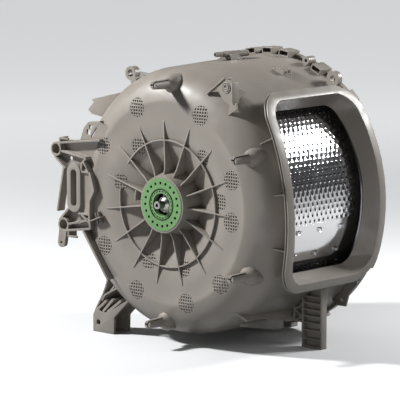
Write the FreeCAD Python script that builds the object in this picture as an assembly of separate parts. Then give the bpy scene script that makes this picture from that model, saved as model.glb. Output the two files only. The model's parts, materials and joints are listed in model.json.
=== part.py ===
"""Tub of a top-loading washing machine, with its drum.

The drum axis lies along Y. The drive end faces -Y, the mouth faces +X and +Z is up, as the tub
stands on its leg, its shock-absorber bracket and its rear foot. The origin is on the drum axis, in
the plane of the hub's outer face. Sizes are millimetres and angles are degrees, measured about the
drum axis from +X towards +Z.
"""
import FreeCAD, Part
import math
import os

Vector = FreeCAD.Vector
CENTRE = Vector(0, 0, 0)
ALONG_Y = Vector(0, 1, 0)
TURN_AXIS = Vector(0, -1, 0)

# Moulded shell
WALL = 3.5
FACE_Y = 15.0
SHELL_R = 250.0
SHOULDER_R = 66.0
SEAM_SHELL_R = 258.0
SEAM_Y = 324.0
SPLIT_Y = 60.0
FLANGE_PROUD = 6.0
FLANGE_T = 5.5
FAR_HUB_Y = 366.0
FLOOR_Z = -270.0

# Hub boss and the dished web round it
HUB_RIM_R = 52.5
HUB_RIM_Y = 1.0
VALLEY_R = 62.0
VALLEY_Y = 40.0
WEB_R = 150.0
BOSS_END_Y = 46.0

# Radial ribs and their ring
RIB_COUNT = 15
RIB_T = 2.6
RIB_FIRST = 92.6
RIB_ROOT_Y = 8.0
RIB_KINK_R = 69.0
RIB_KINK_Y = 13.0
RIB_TIP_R = 154.0
RIB_PROUD = 1.0
RIB_RING_R = 118.0
RIB_RING_GAP = (146.0, 171.0)
INNER_ARC_R = 78.0
INNER_ARC = (165.0, 181.0)

# Shallow round pockets in the face: (radius, angle)
OUTER_POCKET_R = 18.0
INNER_POCKET_R = 16.0
POCKET_DEPTH = 2.4
OUTER_POCKETS = [(188, 113), (188, 64), (168, 20), (158, -7), (188, -46), (187, -75), (186, -114),
                 (184, -149), (188, 149)]
INNER_POCKETS = [(124, 126), (127, 47), (130, 7), (124, -71), (122, -113), (122, 166)]

# Bearing carrier, bearing and seal
CARRIER_FLANGE_R = 49.0
CARRIER_FLANGE_T = 6.0
CARRIER_R = 33.0
CARRIER_MOUTH_R = 21.0
CARRIER_HOLES = 20
CARRIER_HOLE_R = 2.6
CARRIER_HOLE_PATH_R = 40.0
CARRIER_HOLE_FIRST = 93.2
GROOVE_OUT_R = 30.0
GROOVE_IN_R = 27.0
GROOVE_DEPTH = 3.0
SLOT_COUNT = 22
SLOT_PATH_R = 24.8
SLOT_LENGTH = 4.6
SLOT_WIDTH = 1.8
SLOT_DEPTH = 2.5
BEARING_R = 26.0
BEARING_Y = 12.0
BEARING_W = 15.0
RACE_T = 3.4
BALL_R = 3.9
BALL_COUNT = 9
BALL_GAP = 0.1
SNAP_RING_T = 1.4
SNAP_RING_W = 3.0
SNAP_RING_SWEEP = 325.0
SEAL_Y = 34.0
SEAL_W = 9.0
SEAL_LIP_GAP = 0.3

# Shafts and the flanges that carry the drum
SHAFT_TIP_R = 7.0
SHAFT_TIP_Y = -12.0
SHAFT_TIP_END_Y = 3.0
SHAFT_R = 12.5
SHAFT_CONE = 4.0
SHAFT_COLLAR_R = 15.0
SHAFT_HOLE_R = 3.4
SHAFT_HOLE_DEPTH = 16.0
SPACER_R = 15.5
SPACER_Y = 8.0
SPUD_Y = 50.0
SPUD_R = 30.0
SPUD_PLATE_R = 75.0
SPUD_PLATE_T = 5.0
SPUD_BOLTS = 6
SPUD_BOLT_PATH_R = 62.0
SPUD_BOLT_R = 3.0
SPUD_HEAD_R = 5.5
SPUD_HEAD_T = 4.0
SPUD_SCALLOP_R = 18.0

# Drum
DRUM_R = 230.0
SHEET_T = 1.2
DISC_Y = 60.0
DISC_RIM_Y = 54.0
DISC_FLAT_R = 92.0
DISC_SLOPE_R = 112.0
DISC_BORE_R = 20.0
DISC_LIP = 10.0
DISC_LIP_GAP = 0.2

# Lifters and the hooks that hold them
LIFTER_COUNT = 3
LIFTER_ANGLE = -17.0
LIFTER_BASE = 34.0
LIFTER_TOP = 9.0
LIFTER_HEIGHT = 52.0
LIFTER_WALL = 3.0
LIFTER_END_GAP = 6.0
HOOK_ROWS = (-5.5, 6.0)
HOOK_PITCH = 61.0
HOOK_COLUMNS = 3
HOOK_LENGTH = 12.0
HOOK_WIDTH = 7.0
HOOK_HEIGHT = 3.2

# Drum door
DOOR_ANGLE = 163.0
DOOR_HALF = 36.0
DOOR_Y = 84.0
DOOR_LENGTH = 198.0
FLAP_GAP = 2.0
FLAP_MEETING_GAP = 1.5
ROD_R = 2.5
ROD_PATH_R = 222.0
ROD_INSET = 6.5
ROD_OVERRUN = 12.0
KNUCKLE_R = 5.0
KNUCKLE_LENGTH = 40.0
KNUCKLE_SPACING = 110.0
ROD_CLEARANCE = 0.05
ROD_BLOCK_T = 8.0
ROD_BLOCK_HALF = 7.0
BUTTON_R = 11.5
BUTTON_OFFSET = 20.0
BUTTON_PROUD = 0.6
BUTTON_DEPTH = 6.0
BUTTON_CLEARANCE = 0.5
BUTTON_TRAVEL = 2.5
TONGUE_LENGTH = 26.0
TONGUE_WIDTH = 10.0
TONGUE_T = 2.0
HOUSING_SIDE = 30.0
HOUSING_FLOOR = 1.5

# Mouth collar
MOUTH_ANGLE = 8.3
RIM_PROUD = 20.0
RIM_BEND = 354.0
RIM_HALF_ARC = 193.0
RIM_Y = 39.0
RIM_LENGTH = 284.0
RIM_BOW = 11.0
RIM_CORNER = 60.0
RIM_BAND = 18.0
RIM_T = 8.0
RIM_STEP = 3.0
RIM_LIP_T = 2.6
RIM_GROOVE_WIDTH = 3.6
RIM_GROOVE_DEPTH = 4.0
LOOP_SPAN_COUNT = 5
NECK_DROP = 4.0
NECK_HALF_ARC = 159.0
NECK_INSET = 38.0
NECK_WALL = 4.0
GUSSET_COUNT = 3
GUSSET_STEP = 23.4
GUSSET_T = 2.5
GUSSET_LENGTH = 14.0

# Posts for the counterweight
POST_PATH_R = 222.0
POST_ANGLES = (27.0, -31.0, 89.0, -93.0)
POST_TIP_Y = -26.0
POST_TIP_R = 7.5
POST_ROOT_R = 14.5
POST_ROOT_Y = 52.0
POST_BORE_R = 3.2
POST_BORE_DEPTH = 34.0
POST_SLIT_WIDTH = 1.4
POST_SLIT_LENGTH = 36.0
POST_SLIT_ANGLE = 62.0

# Hanger ear, eye lug and small ear
EAR_PROUD = 10.0
EAR_ANGLE = 59.0
EAR_Y = 27.0
EAR_T = 5.0
EAR_HOLE_R = 4.0
EAR_BOSS_R = 8.0
EAR_BOSS_T = 1.2
EAR_WING = 52.0
EAR_TIP = 56.0
EAR_RIB_T = 3.0
EAR_RIB_END_Y = 80.0
LUG_PROUD = 12.0
LUG_ANGLE = 118.5
LUG_Y = 52.0
LUG_LENGTH = 14.0
LUG_OUT_R = 13.0
LUG_BORE_R = 7.0
LUG_RIB_END_Y = 112.0
TAB_OUTLINE = ((-150.0, 100.0), (-218.0, 101.0), (-210.0, 123.0), (-198.0, 135.0), (-169.0, 138.0),
               (-145.0, 130.0))
TAB_Y = 15.0
TAB_DEPTH = 12.0
TAB_T = 3.0
TAB_POINT = (-193.0, 127.0)
TAB_HOLE = 7.0
TAB_PIT = ((-203.0, -193.0), (112.0, 122.0))
TAB_SLOT = ((-191.0, 108.0), (-177.0, 127.0))

# Motor bracket, as points in the plane across the drum axis
MOTOR_UPPER = (-274.0, 80.0)
MOTOR_LOWER = (-255.5, -63.5)
MOTOR_BOSS_R = 13.5
MOTOR_BORE_R = 10.0
MOTOR_BORE_DEPTH = 12.0
MOTOR_BOLT_R = 4.0
MOTOR_Y = 4.0
MOTOR_LENGTH = 45.0
MOTOR_WALL = 4.0
MOTOR_WALL_DEPTH = 30.0
MOTOR_WEB_Y = 17.0
MOTOR_WEB_T = 3.0
MOTOR_ROOT_UPPER = (-160.0, 105.0)
MOTOR_ROOT_LOWER = (-186.0, -65.0)
LOOP_POINT = (-226.0, 10.0)
LOOP_R = 17.4
LOOP_HALF = 28.9
LOOP_OPENING_R = 7.7
LOOP_OPENING_HALF = 27.4
LOOP_Y = 2.0
LOOP_DEPTH = 32.0
STRAP_END = (-261.0, -98.0)
STRAP_WIDTH = 19.0
STRAP_T = 8.0
STRAP_HOLE_R = 2.7
ZIGZAG = ((-187.0, 42.0), (-175.5, 9.5), (-187.5, -11.0), (-188.5, -38.0), (-186.0, -65.0))
LIGHT_WEB_Y = 8.0
ARM_TOP = (-279.0, 67.0)
ARM_FOOT = (-250.0, 45.0)
FIN_TOP = (-254.5, 46.0)
FIN_FOOT = (-271.5, -38.5)
FIN_DEPTH = 18.0
MIDDLE_RIB = ((-259.0, 77.0), (-196.0, 68.5), (-207.0, 58.0), (-209.0, 42.0), (-187.0, 42.0))
LOWER_DIAGONAL = ((-240.0, -29.0), (-267.0, -56.0))
RING_RIB = ((-246.0, -61.5), (-213.0, -54.5), (-186.0, -47.0))
RING_PLACES = ((-213.0, -54.5), (-192.0, -48.7))
RING_OUT_R = 3.5
RING_BORE_R = 1.5
CROSS_RIB = ((-208.0, -40.0), (-188.5, -53.0))
LIGHT_FOOT = ((-216.0, -38.0), (-188.5, -38.0))
WINDOW_POINT = (-246.5, 63.0)
WINDOW_R = 4.5
TANGENT_START = (-204.5, -70.0)
TANGENT_END = (-141.0, -156.5)
TANGENT_T = 5.0
WIRE_HOOKS = ((-264.0, 91.0, 1), (-243.0, -74.0, -1))
WIRE_HOOK_HEIGHT = 12.0
WIRE_HOOK_LENGTH = 22.0

# Shock-absorber brackets
SHOCK_Y = 44.0
SHOCK_DEPTH = 46.0
SHOCK_PLATE_T = 6.0
SHOCK_OUTLINE = ((-162.0, -150.0), (-180.0, -168.0), (-184.0, -180.0), (-192.0, -197.0),
                 (-208.0, -223.0), (-215.0, -238.0))
SHOCK_CHEEK_TOP = ((-194.0, -231.0), (-178.0, -229.0), (-122.0, -197.0))
SHOCK_FOOT_X = (-215.0, -163.0)
SHOCK_HEEL = ((-162.0, -237.0), (-127.0, -204.0), (-118.0, -190.0))
SHOCK_HOLE = (-203.0, -251.0)
SHOCK_HOLE_R = 5.0
SHOCK_INNER_WALL = ((-136.0, -170.0), (-186.0, -196.0), (-194.0, -208.0))
SHOCK_RIB_WALL = ((-146.0, -160.0), (-171.0, -187.0))
SHOCK_TEETH = (((-182.0, -207.0), (-205.0, -226.0)), ((-165.0, -203.0), (-191.0, -229.0)),
               ((-144.0, -203.0), (-180.0, -229.0)))
SHOCK_TOOTH_T = 5.0
WING_OUTLINE = ((-145.0, 192.0), (-224.0, 173.0), (-220.0, 169.0), (-235.0, 154.0), (-226.0, 146.5),
                (-198.0, 142.7), (-172.0, 139.0))
WING_Y = 52.0
WING_T = 5.0
WING_DEPTH = 40.0

# Leg with its box, and the rails beside it
LEG_X = 178.0
LEG_WIDTH = 48.0
LEG_Y = 190.0
LEG_DEPTH = 15.0
LEG_WALL = 4.0
LEG_TOP_Z = -135.0
BOX_WIDTH = 20.0
BOX_FLOOR_Z = -224.0
BOX_RUNGS = 5
BOX_RUNG_PITCH = 12.4
BOX_ZIGZAGS = 4
LEG_RUNG_PITCH = 16.0
RUNG_T = 2.5
RAIL_ANGLE = -53.0
RAIL_PROUD = 9.0
RAIL_Y = 22.0
RAIL_POINT_Y = 60.0
RAIL_T = 4.0
KEEL_XS = (150.0, 118.0)
KEEL_Y = 84.0
KEEL_REACH = 24.0

# Fittings on the barrel and the rear flange
VENT_FROM = (-12.0, 163.0)
VENT_TO = (8.0, 233.0)
VENT_PROUD = 14.0
VENT_R = 6.0
VENT_TIP_R = 4.8
VENT_TIP_LENGTH = 18.0
VENT_BORE_R = 3.2
VENT_BASE_WIDTH = 14.0
VENT_BASE_INSET = 12.0
CLIP_ANGLE = 67.0
CLIP_Y = 212.0
CLIP_LENGTH = 26.0
CLIP_FINS = 3
CLIP_FIN_T = 2.5
CLIP_HEIGHT = 9.0
DRAIN_Y = 200.0
DRAIN_R = 25.0
DRAIN_BORE_R = 21.5
DRAIN_LENGTH = 50.0
DRAIN_STOP_R = 29.0
DRAIN_STOP_LENGTH = 12.0
EYE_PROUD = 10.0
EYE_ANGLE = 53.5
EYE_Y = 296.0
EYE_LENGTH = 10.0
EYE_OUT_R = 15.0
EYE_BORE_R = 6.0
RING_BOSS_PROUD = 4.0
RING_BOSS_ANGLE = 69.0
RING_BOSS_OUT_R = 8.0
RING_BOSS_BORE_R = 3.2
REAR_TAB_OUTLINE = ((132.0, -172.0), (217.0, -140.0), (224.0, -160.0), (203.0, -184.0),
                    (196.0, -207.0), (176.0, -207.0), (150.0, -188.0))
REAR_TAB_Y = 298.0
REAR_TAB_T = 4.0
REAR_TAB_HOLE = (187.0, -195.0)
REAR_TAB_HOLE_R = 3.5
REAR_FOOT_HALF = 42.0
REAR_FOOT_LENGTH = 20.0

# Seam
SEAM_SEAL_OFFSET = 1.2
SEAM_SEAL_R = 1.8
SEAM_GROOVE_GAP = 0.6
SEAM_CLIPS = 40
SEAM_CLIP_SWEEP = 5.2
SEAM_CLIP_PROUD = 6.0
SEAM_CLIP_BODY = 20.0
SEAM_CLIP_SKIN = 2.0
SEAM_CLIP_LIP = 3.0
SEAM_CLIP_POCKET = 14.0
SEAM_CLIP_SKIP = ((-112.0, -68.0), (-60.0, -28.0), (46.0, 60.0), (65.0, 73.0))

# The core's closing line, clear of the pieces that the core cuts
CORE_START = 200.0

# Derived places
FLANGE_R = SEAM_SHELL_R + FLANGE_PROUD
SEAM_SEAL_PATH_R = SEAM_SHELL_R + SEAM_SEAL_OFFSET
SEAM_CLIP_OUT_R = FLANGE_R + SEAM_CLIP_PROUD
EYE_R = FLANGE_R + EYE_PROUD
RING_BOSS_R = FLANGE_R + RING_BOSS_PROUD
EAR_R = SHELL_R + EAR_PROUD
LUG_R = SHELL_R + LUG_PROUD
RAIL_R = SHELL_R + RAIL_PROUD
RIM_LEVEL = SHELL_R + RIM_PROUD
NECK_LEVEL = SHELL_R - NECK_DROP
NECK_TOP_INSET = RIM_BAND + RIM_STEP - NECK_WALL
VENT_START = Vector(VENT_FROM[0], VENT_FROM[1], SHELL_R + VENT_PROUD)
VENT_END = Vector(VENT_TO[0], VENT_TO[1], SHELL_R + VENT_PROUD)
DRAIN_REACH = SHELL_R + DRAIN_LENGTH
DRAIN_STOP = SHELL_R + DRAIN_STOP_LENGTH
SHOULDER_END_Y = FACE_Y + SHOULDER_R
FACE_END_R = SHELL_R - SHOULDER_R
FAR_SEAM_DEPTH = FAR_HUB_Y - SEAM_Y
FAR_SHOULDER_R = FAR_SEAM_DEPTH - FLANGE_T - FACE_Y
FAR_FACE_END_R = SEAM_SHELL_R - FAR_SHOULDER_R
BALL_PATH_R = (BEARING_R + SHAFT_R) / 2
DRUM_START_Y = DISC_RIM_Y + SHEET_T
DRUM_END_Y = FAR_HUB_Y - DRUM_START_Y
WEB_SLOPE = math.atan2(VALLEY_Y - FACE_Y, WEB_R - VALLEY_R)
LEG_END_X = LEG_X + LEG_WIDTH


# Shaping helpers

def polar(radius, degrees, y=0.0):
    """A point at a radius and an angle about the drum axis."""
    angle = math.radians(degrees)
    return Vector(radius * math.cos(angle), y, radius * math.sin(angle))


def turned(shape, degrees):
    """The shape turned about the drum axis, from +X towards +Z."""
    copy = shape.copy()
    copy.rotate(CENTRE, TURN_AXIS, degrees)
    return copy


def far_end(shape):
    """The mirror image of a drive-end shape, at the far end."""
    return shape.mirror(Vector(0, FAR_HUB_Y / 2, 0), ALONG_Y)


def joined(shapes):
    """One solid from pieces that meet."""
    return shapes[0].multiFuse(shapes[1:]).removeSplitter()


def biggest(shape):
    """The largest solid of a shape."""
    return max(shape.Solids, key=lambda solid: abs(solid.Volume))


def facing_out(solid):
    """The solid with its faces turned outwards."""
    if solid.Volume < 0:
        solid.reverse()
    return solid


def outline_face(items, place):
    """A flat face. An item is a point, or two points: an arc's middle and its end."""
    edges = []
    first = last = place(items[0])
    for item in items[1:]:
        if isinstance(item[0], tuple):
            middle, end = place(item[0]), place(item[1])
            edges.append(Part.Arc(last, middle, end).toShape())
        else:
            end = place(item)
            edges.append(Part.LineSegment(last, end).toShape())
        last = end
    if last.distanceToPoint(first) > 1e-6:
        edges.append(Part.LineSegment(last, first).toShape())
    return Part.Face(Part.Wire(edges))


def spun(items, start=0.0, sweep=360.0):
    """A (radius, y) outline turned about the drum axis."""
    face = outline_face(items, lambda point: Vector(point[0], point[1], 0))
    return turned(face.revolve(CENTRE, TURN_AXIS, sweep), start)


def band(inner, outer, y_start, y_end, start=0.0, sweep=360.0):
    """A ring, or part of one, of rectangular section."""
    corners = [(inner, y_start), (outer, y_start), (outer, y_end), (inner, y_end)]
    return spun(corners, start, sweep)


def pin(radius, y_start, y_end, x=0.0, z=0.0):
    """A round bar along Y."""
    return Part.makeCylinder(radius, y_end - y_start, Vector(x, y_start, z), ALONG_Y)


def block(x_span, y_span, z_span):
    """A box between two corners."""
    low = Vector(min(x_span), min(y_span), min(z_span))
    return Part.makeBox(abs(x_span[1] - x_span[0]), abs(y_span[1] - y_span[0]),
                        abs(z_span[1] - z_span[0]), low)


def plate(items, y_start, thickness):
    """A flat plate across the drum axis, from an outline of (x, z) points."""
    face = outline_face(items, lambda point: Vector(point[0], y_start, point[1]))
    return face.extrude(Vector(0, thickness, 0))


def wall(start, end, width, y_start, depth):
    """A straight wall between two (x, z) points, deep along Y."""
    dx, dz = end[0] - start[0], end[1] - start[1]
    length = math.hypot(dx, dz)
    side_x, side_z = -dz / length * width / 2, dx / length * width / 2
    corners = [(start[0] + side_x, start[1] + side_z), (end[0] + side_x, end[1] + side_z),
               (end[0] - side_x, end[1] - side_z), (start[0] - side_x, start[1] - side_z)]
    return plate(corners, y_start, depth)


def wall_chain(points, width, y_start, depth):
    """Straight walls from point to point."""
    return [wall(start, end, width, y_start, depth) for start, end in zip(points, points[1:])]


def fin(items, degrees, thickness):
    """A flat rib in a plane through the drum axis, from an outline of (radius, y) points."""
    face = outline_face(items, lambda point: Vector(point[0], point[1], -thickness / 2))
    return turned(face.extrude(Vector(0, 0, thickness)), degrees)


def tall_slot(centre, radius, half, y_start, depth):
    """A bar along Y whose section is a tall, round-ended slot."""
    x, z = centre
    items = [(x + radius, z - half), (x + radius, z + half),
             ((x, z + half + radius), (x - radius, z + half)), (x - radius, z - half),
             ((x, z - half - radius), (x + radius, z - half))]
    return plate(items, y_start, depth)


# Tub shell

def shoulder_point(radius, y):
    """The point of a shoulder arc of this radius that lies in the plane y."""
    drop = SHOULDER_END_Y - y
    return (FACE_END_R + math.sqrt(radius ** 2 - drop ** 2), y)


def shoulder_middle(radius, y_from, y_to):
    """The middle of the shoulder arc between two planes."""
    angles = [math.acos((SHOULDER_END_Y - y) / radius) for y in (y_from, y_to)]
    middle = sum(angles) / 2
    return (FACE_END_R + radius * math.sin(middle), SHOULDER_END_Y - radius * math.cos(middle))


def shell_r(y):
    """Outside radius of the tub at a place along the drum axis, past the flat face."""
    if y < SHOULDER_END_Y:
        return shoulder_point(SHOULDER_R, y)[0]
    share = (y - SHOULDER_END_Y) / (SEAM_Y - SHOULDER_END_Y)
    return SHELL_R + (SEAM_SHELL_R - SHELL_R) * share


def drive_core(depth=0.0):
    """Everything inside the drive-side shell's outer surface, or inside a skin of this depth."""
    radius = SHOULDER_R - depth
    items = [(0, HUB_RIM_Y + depth), (HUB_RIM_R - depth, HUB_RIM_Y + depth),
             (VALLEY_R, VALLEY_Y + depth / math.cos(WEB_SLOPE)),
             (WEB_R, FACE_Y + depth), (FACE_END_R, FACE_Y + depth),
             (shoulder_middle(radius, FACE_Y + depth, SHOULDER_END_Y), (SHELL_R - depth, SHOULDER_END_Y)),
             (SEAM_SHELL_R - depth, SEAM_Y), (0, SEAM_Y)]
    return spun(items, CORE_START)


def far_core():
    """Everything inside the far cover's outer surface."""
    seam = FAR_SEAM_DEPTH
    items = [(0, HUB_RIM_Y), (HUB_RIM_R, HUB_RIM_Y), (VALLEY_R, VALLEY_Y), (WEB_R, FACE_Y),
             (FAR_FACE_END_R, FACE_Y), far_shoulder(FAR_SHOULDER_R),
             (FLANGE_R, seam - FLANGE_T), (FLANGE_R, seam), (0, seam)]
    return far_end(spun(items, CORE_START))


def far_shoulder(radius):
    """The arc item from the far cover's face to its flange."""
    half = math.radians(45)
    middle = (FAR_FACE_END_R + radius * math.sin(half), FACE_Y + FAR_SHOULDER_R - radius * math.cos(half))
    return (middle, (FAR_FACE_END_R + radius, FACE_Y + FAR_SHOULDER_R))


def boss_items():
    """The inside of an end shell, from its web to the seat of the bearing carrier."""
    return [(WEB_R, FACE_Y + WALL), (VALLEY_R, VALLEY_Y + WALL / math.cos(WEB_SLOPE)),
            (VALLEY_R, BOSS_END_Y), (CARRIER_R, BOSS_END_Y), (CARRIER_R, CARRIER_FLANGE_T),
            (CARRIER_FLANGE_R, CARRIER_FLANGE_T), (CARRIER_FLANGE_R, HUB_RIM_Y)]


def drive_end_shell():
    """The dished end of the drive side, with its hub boss and shallow pockets."""
    inner_r = SHOULDER_R - WALL
    items = [(HUB_RIM_R, HUB_RIM_Y), (VALLEY_R, VALLEY_Y), (WEB_R, FACE_Y), (FACE_END_R, FACE_Y),
             (shoulder_middle(SHOULDER_R, FACE_Y, SPLIT_Y), shoulder_point(SHOULDER_R, SPLIT_Y)),
             shoulder_point(inner_r, SPLIT_Y),
             (shoulder_middle(inner_r, FACE_Y + WALL, SPLIT_Y), (FACE_END_R, FACE_Y + WALL))]
    shell = spun(items + boss_items())
    skin = drive_core().cut(drive_core(POCKET_DEPTH))
    sets = [(OUTER_POCKETS, OUTER_POCKET_R), (INNER_POCKETS, INNER_POCKET_R)]
    pockets = []
    for places, radius in sets:
        for path_r, angle in places:
            centre = polar(path_r, angle)
            pockets.append(pin(radius, HUB_RIM_Y, SPLIT_Y, centre.x, centre.z))
    return shell.cut(Part.makeCompound(pockets).common(skin))


def barrel_shell(collar):
    """The round wall from the shoulder to the seam, with the mouth, the drain and the flange."""
    inner_r = SHOULDER_R - WALL
    items = [shoulder_point(SHOULDER_R, SPLIT_Y),
             (shoulder_middle(SHOULDER_R, SPLIT_Y, SHOULDER_END_Y), (SHELL_R, SHOULDER_END_Y)),
             (shell_r(SEAM_Y - FLANGE_T), SEAM_Y - FLANGE_T), (FLANGE_R, SEAM_Y - FLANGE_T),
             (FLANGE_R, SEAM_Y), (SEAM_SHELL_R - WALL, SEAM_Y), (SHELL_R - WALL, SHOULDER_END_Y),
             (shoulder_middle(inner_r, SPLIT_Y, SHOULDER_END_Y), shoulder_point(inner_r, SPLIT_Y))]
    drain = Part.makeCylinder(DRAIN_BORE_R, DRAIN_REACH, Vector(0, DRAIN_Y, 0), Vector(-1, 0, 0))
    barrel = spun(items).cut(drain).cut(seam_ring(SEAM_GROOVE_GAP))
    return biggest(barrel.cut(collar))


def far_cover():
    """The far half of the tub: a shallow dished cover with its own hub boss."""
    seam = FAR_SEAM_DEPTH
    inner_r = FAR_SHOULDER_R - WALL
    middle, end = far_shoulder(inner_r)
    items = [(HUB_RIM_R, HUB_RIM_Y), (VALLEY_R, VALLEY_Y), (WEB_R, FACE_Y), (FAR_FACE_END_R, FACE_Y),
             far_shoulder(FAR_SHOULDER_R), (FLANGE_R, seam - FLANGE_T), (FLANGE_R, seam),
             (end[0], seam), end, (middle, (FAR_FACE_END_R, FACE_Y + WALL))]
    return far_end(spun(items + boss_items())).cut(seam_ring(SEAM_GROOVE_GAP))


def seam_ring(gap=0.0):
    """The round cord between the halves, or its groove."""
    return Part.makeTorus(SEAM_SEAL_PATH_R, SEAM_SEAL_R + gap, Vector(0, SEAM_Y, 0), ALONG_Y)


def radial_ribs():
    """The ribs of an end's web, tied by a ring that is open at one side."""
    top_y = FACE_Y - RIB_PROUD
    low_y = VALLEY_Y + WALL
    rib = [(HUB_RIM_R - WALL, RIB_ROOT_Y), (RIB_KINK_R, RIB_KINK_Y), (WEB_R, top_y),
           (RIB_TIP_R, FACE_Y), (RIB_TIP_R, low_y), (HUB_RIM_R - WALL, low_y)]
    step = 360.0 / RIB_COUNT
    pieces = [fin(rib, RIB_FIRST + step * k, RIB_T) for k in range(RIB_COUNT)]
    gap_start, gap_end = RIB_RING_GAP
    pieces.append(band(RIB_RING_R - RIB_T / 2, RIB_RING_R + RIB_T / 2, top_y, low_y,
                       gap_end, 360.0 - (gap_end - gap_start)))
    arc_start, arc_end = INNER_ARC
    pieces.append(band(INNER_ARC_R - RIB_T / 2, INNER_ARC_R + RIB_T / 2, RIB_KINK_Y, low_y,
                       arc_start, arc_end - arc_start))
    return joined(pieces).cut(drive_core())


# Mouth collar

def rounded_point(piece, share, half_y, half_arc, corner):
    """A point of a round-cornered rectangle. Even pieces are corners, odd ones the sides after them."""
    def on_corner(index, part):
        sign_y = (1, -1, -1, 1)[index % 4]
        sign_arc = (1, 1, -1, -1)[index % 4]
        angle = math.radians(90.0 * (index % 4 + part))
        return (sign_y * (half_y - corner) + corner * math.cos(angle),
                sign_arc * (half_arc - corner) + corner * math.sin(angle))
    index = piece // 2
    if piece % 2 == 0:
        return on_corner(index, share)
    start, end = on_corner(index, 1.0), on_corner(index + 1, 0.0)
    return (start[0] + (end[0] - start[0]) * share, start[1] + (end[1] - start[1]) * share)


def mouth_loop(level, inset, bend=RIM_BEND, half_arc=None):
    """Eight edges round the mouth, on a round surface of radius bend whose crown is at level."""
    half_y = RIM_LENGTH / 2 - inset
    middle_y = RIM_Y + RIM_LENGTH / 2
    half_arc = half_arc or RIM_HALF_ARC - inset
    corner = max(RIM_CORNER - inset, RIM_CORNER / 4)

    def at(piece, share):
        y, arc = rounded_point(piece, share, half_y, half_arc, corner)
        y *= 1 - RIM_BOW / half_y * (arc / half_arc) ** 2
        angle = arc / bend
        return Vector(level - bend + bend * math.cos(angle), middle_y + y, bend * math.sin(angle))

    nudge = 1e-4
    edges = []
    for piece in range(8):
        points = [at(piece, k / LOOP_SPAN_COUNT) for k in range(LOOP_SPAN_COUNT + 1)]
        curve = Part.BSplineCurve()
        curve.interpolate(Points=points, InitialTangent=(at(piece, nudge) - points[0]) * (1 / nudge),
                          FinalTangent=(points[-1] - at(piece, 1 - nudge)) * (1 / nudge))
        edges.append(curve.toShape())
    return edges


def mouth_collar():
    """The frame round the mouth: a neck through the barrel, a sloping inner face and a grooved rim."""
    neck_out = NECK_INSET - NECK_WALL
    under = RIM_LEVEL - RIM_T
    lip = RIM_LEVEL - RIM_LIP_T
    groove = lip - RIM_GROOVE_WIDTH
    loops = [mouth_loop(under, 0), mouth_loop(groove, 0), mouth_loop(groove, RIM_GROOVE_DEPTH),
             mouth_loop(lip, RIM_GROOVE_DEPTH), mouth_loop(lip, 0),
             mouth_loop(RIM_LEVEL, 0), mouth_loop(RIM_LEVEL, RIM_BAND),
             mouth_loop(under, RIM_BAND + RIM_STEP),
             mouth_loop(NECK_LEVEL, NECK_INSET, NECK_LEVEL, NECK_HALF_ARC),
             mouth_loop(NECK_LEVEL, neck_out, NECK_LEVEL, NECK_HALF_ARC + NECK_WALL),
             mouth_loop(under, NECK_TOP_INSET)]
    faces = []
    for index, loop in enumerate(loops):
        following = loops[(index + 1) % len(loops)]
        faces += [Part.makeRuledSurface(one, other) for one, other in zip(loop, following)]
    shell = Part.makeShell(faces)
    shell.sewShape()
    return turned(facing_out(Part.makeSolid(shell)), MOUTH_ANGLE)


def mouth_gussets(core, collar):
    """Short ribs between the neck and the shoulder."""
    start_y = RIM_Y + NECK_TOP_INSET - GUSSET_LENGTH
    end_y = RIM_Y + NECK_INSET
    top = RIM_LEVEL - RIM_T
    items = [(FACE_END_R, start_y), (shell_r(start_y) + GUSSET_T, start_y), (top, RIM_Y + NECK_TOP_INSET),
             (top, end_y), (FACE_END_R, end_y)]
    first = MOUTH_ANGLE - GUSSET_STEP * (GUSSET_COUNT - 1) / 2
    gussets = [fin(items, first + GUSSET_STEP * k, GUSSET_T).cut(core).cut(collar) for k in range(GUSSET_COUNT)]
    return Part.makeCompound([facing_out(biggest(gusset)) for gusset in gussets])


def rim_reach(radius):
    """Half the angle over which the underside of the rim is nearer the drum axis than a radius."""
    bend = RIM_BEND - RIM_T
    offset = RIM_BEND - RIM_LEVEL
    return math.degrees(math.acos((bend ** 2 - offset ** 2 - radius ** 2) / (2 * offset * radius)))


# Posts, ears and lugs on the shell

def weight_post(angle, core):
    """A hollow post for the counterweight."""
    centre = polar(POST_PATH_R, angle)
    cone = Part.makeCone(POST_TIP_R, POST_ROOT_R, POST_ROOT_Y - POST_TIP_Y,
                         Vector(centre.x, POST_TIP_Y, centre.z), ALONG_Y)
    bore = pin(POST_BORE_R, POST_TIP_Y, POST_TIP_Y + POST_BORE_DEPTH, centre.x, centre.z)
    slit_end = (centre.x + POST_ROOT_R * math.cos(math.radians(POST_SLIT_ANGLE)),
                centre.z + POST_ROOT_R * math.sin(math.radians(POST_SLIT_ANGLE)))
    slit = wall((centre.x, centre.z), slit_end, POST_SLIT_WIDTH, POST_TIP_Y, POST_SLIT_LENGTH)
    return biggest(cone.cut(bore).cut(slit).cut(core))


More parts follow.
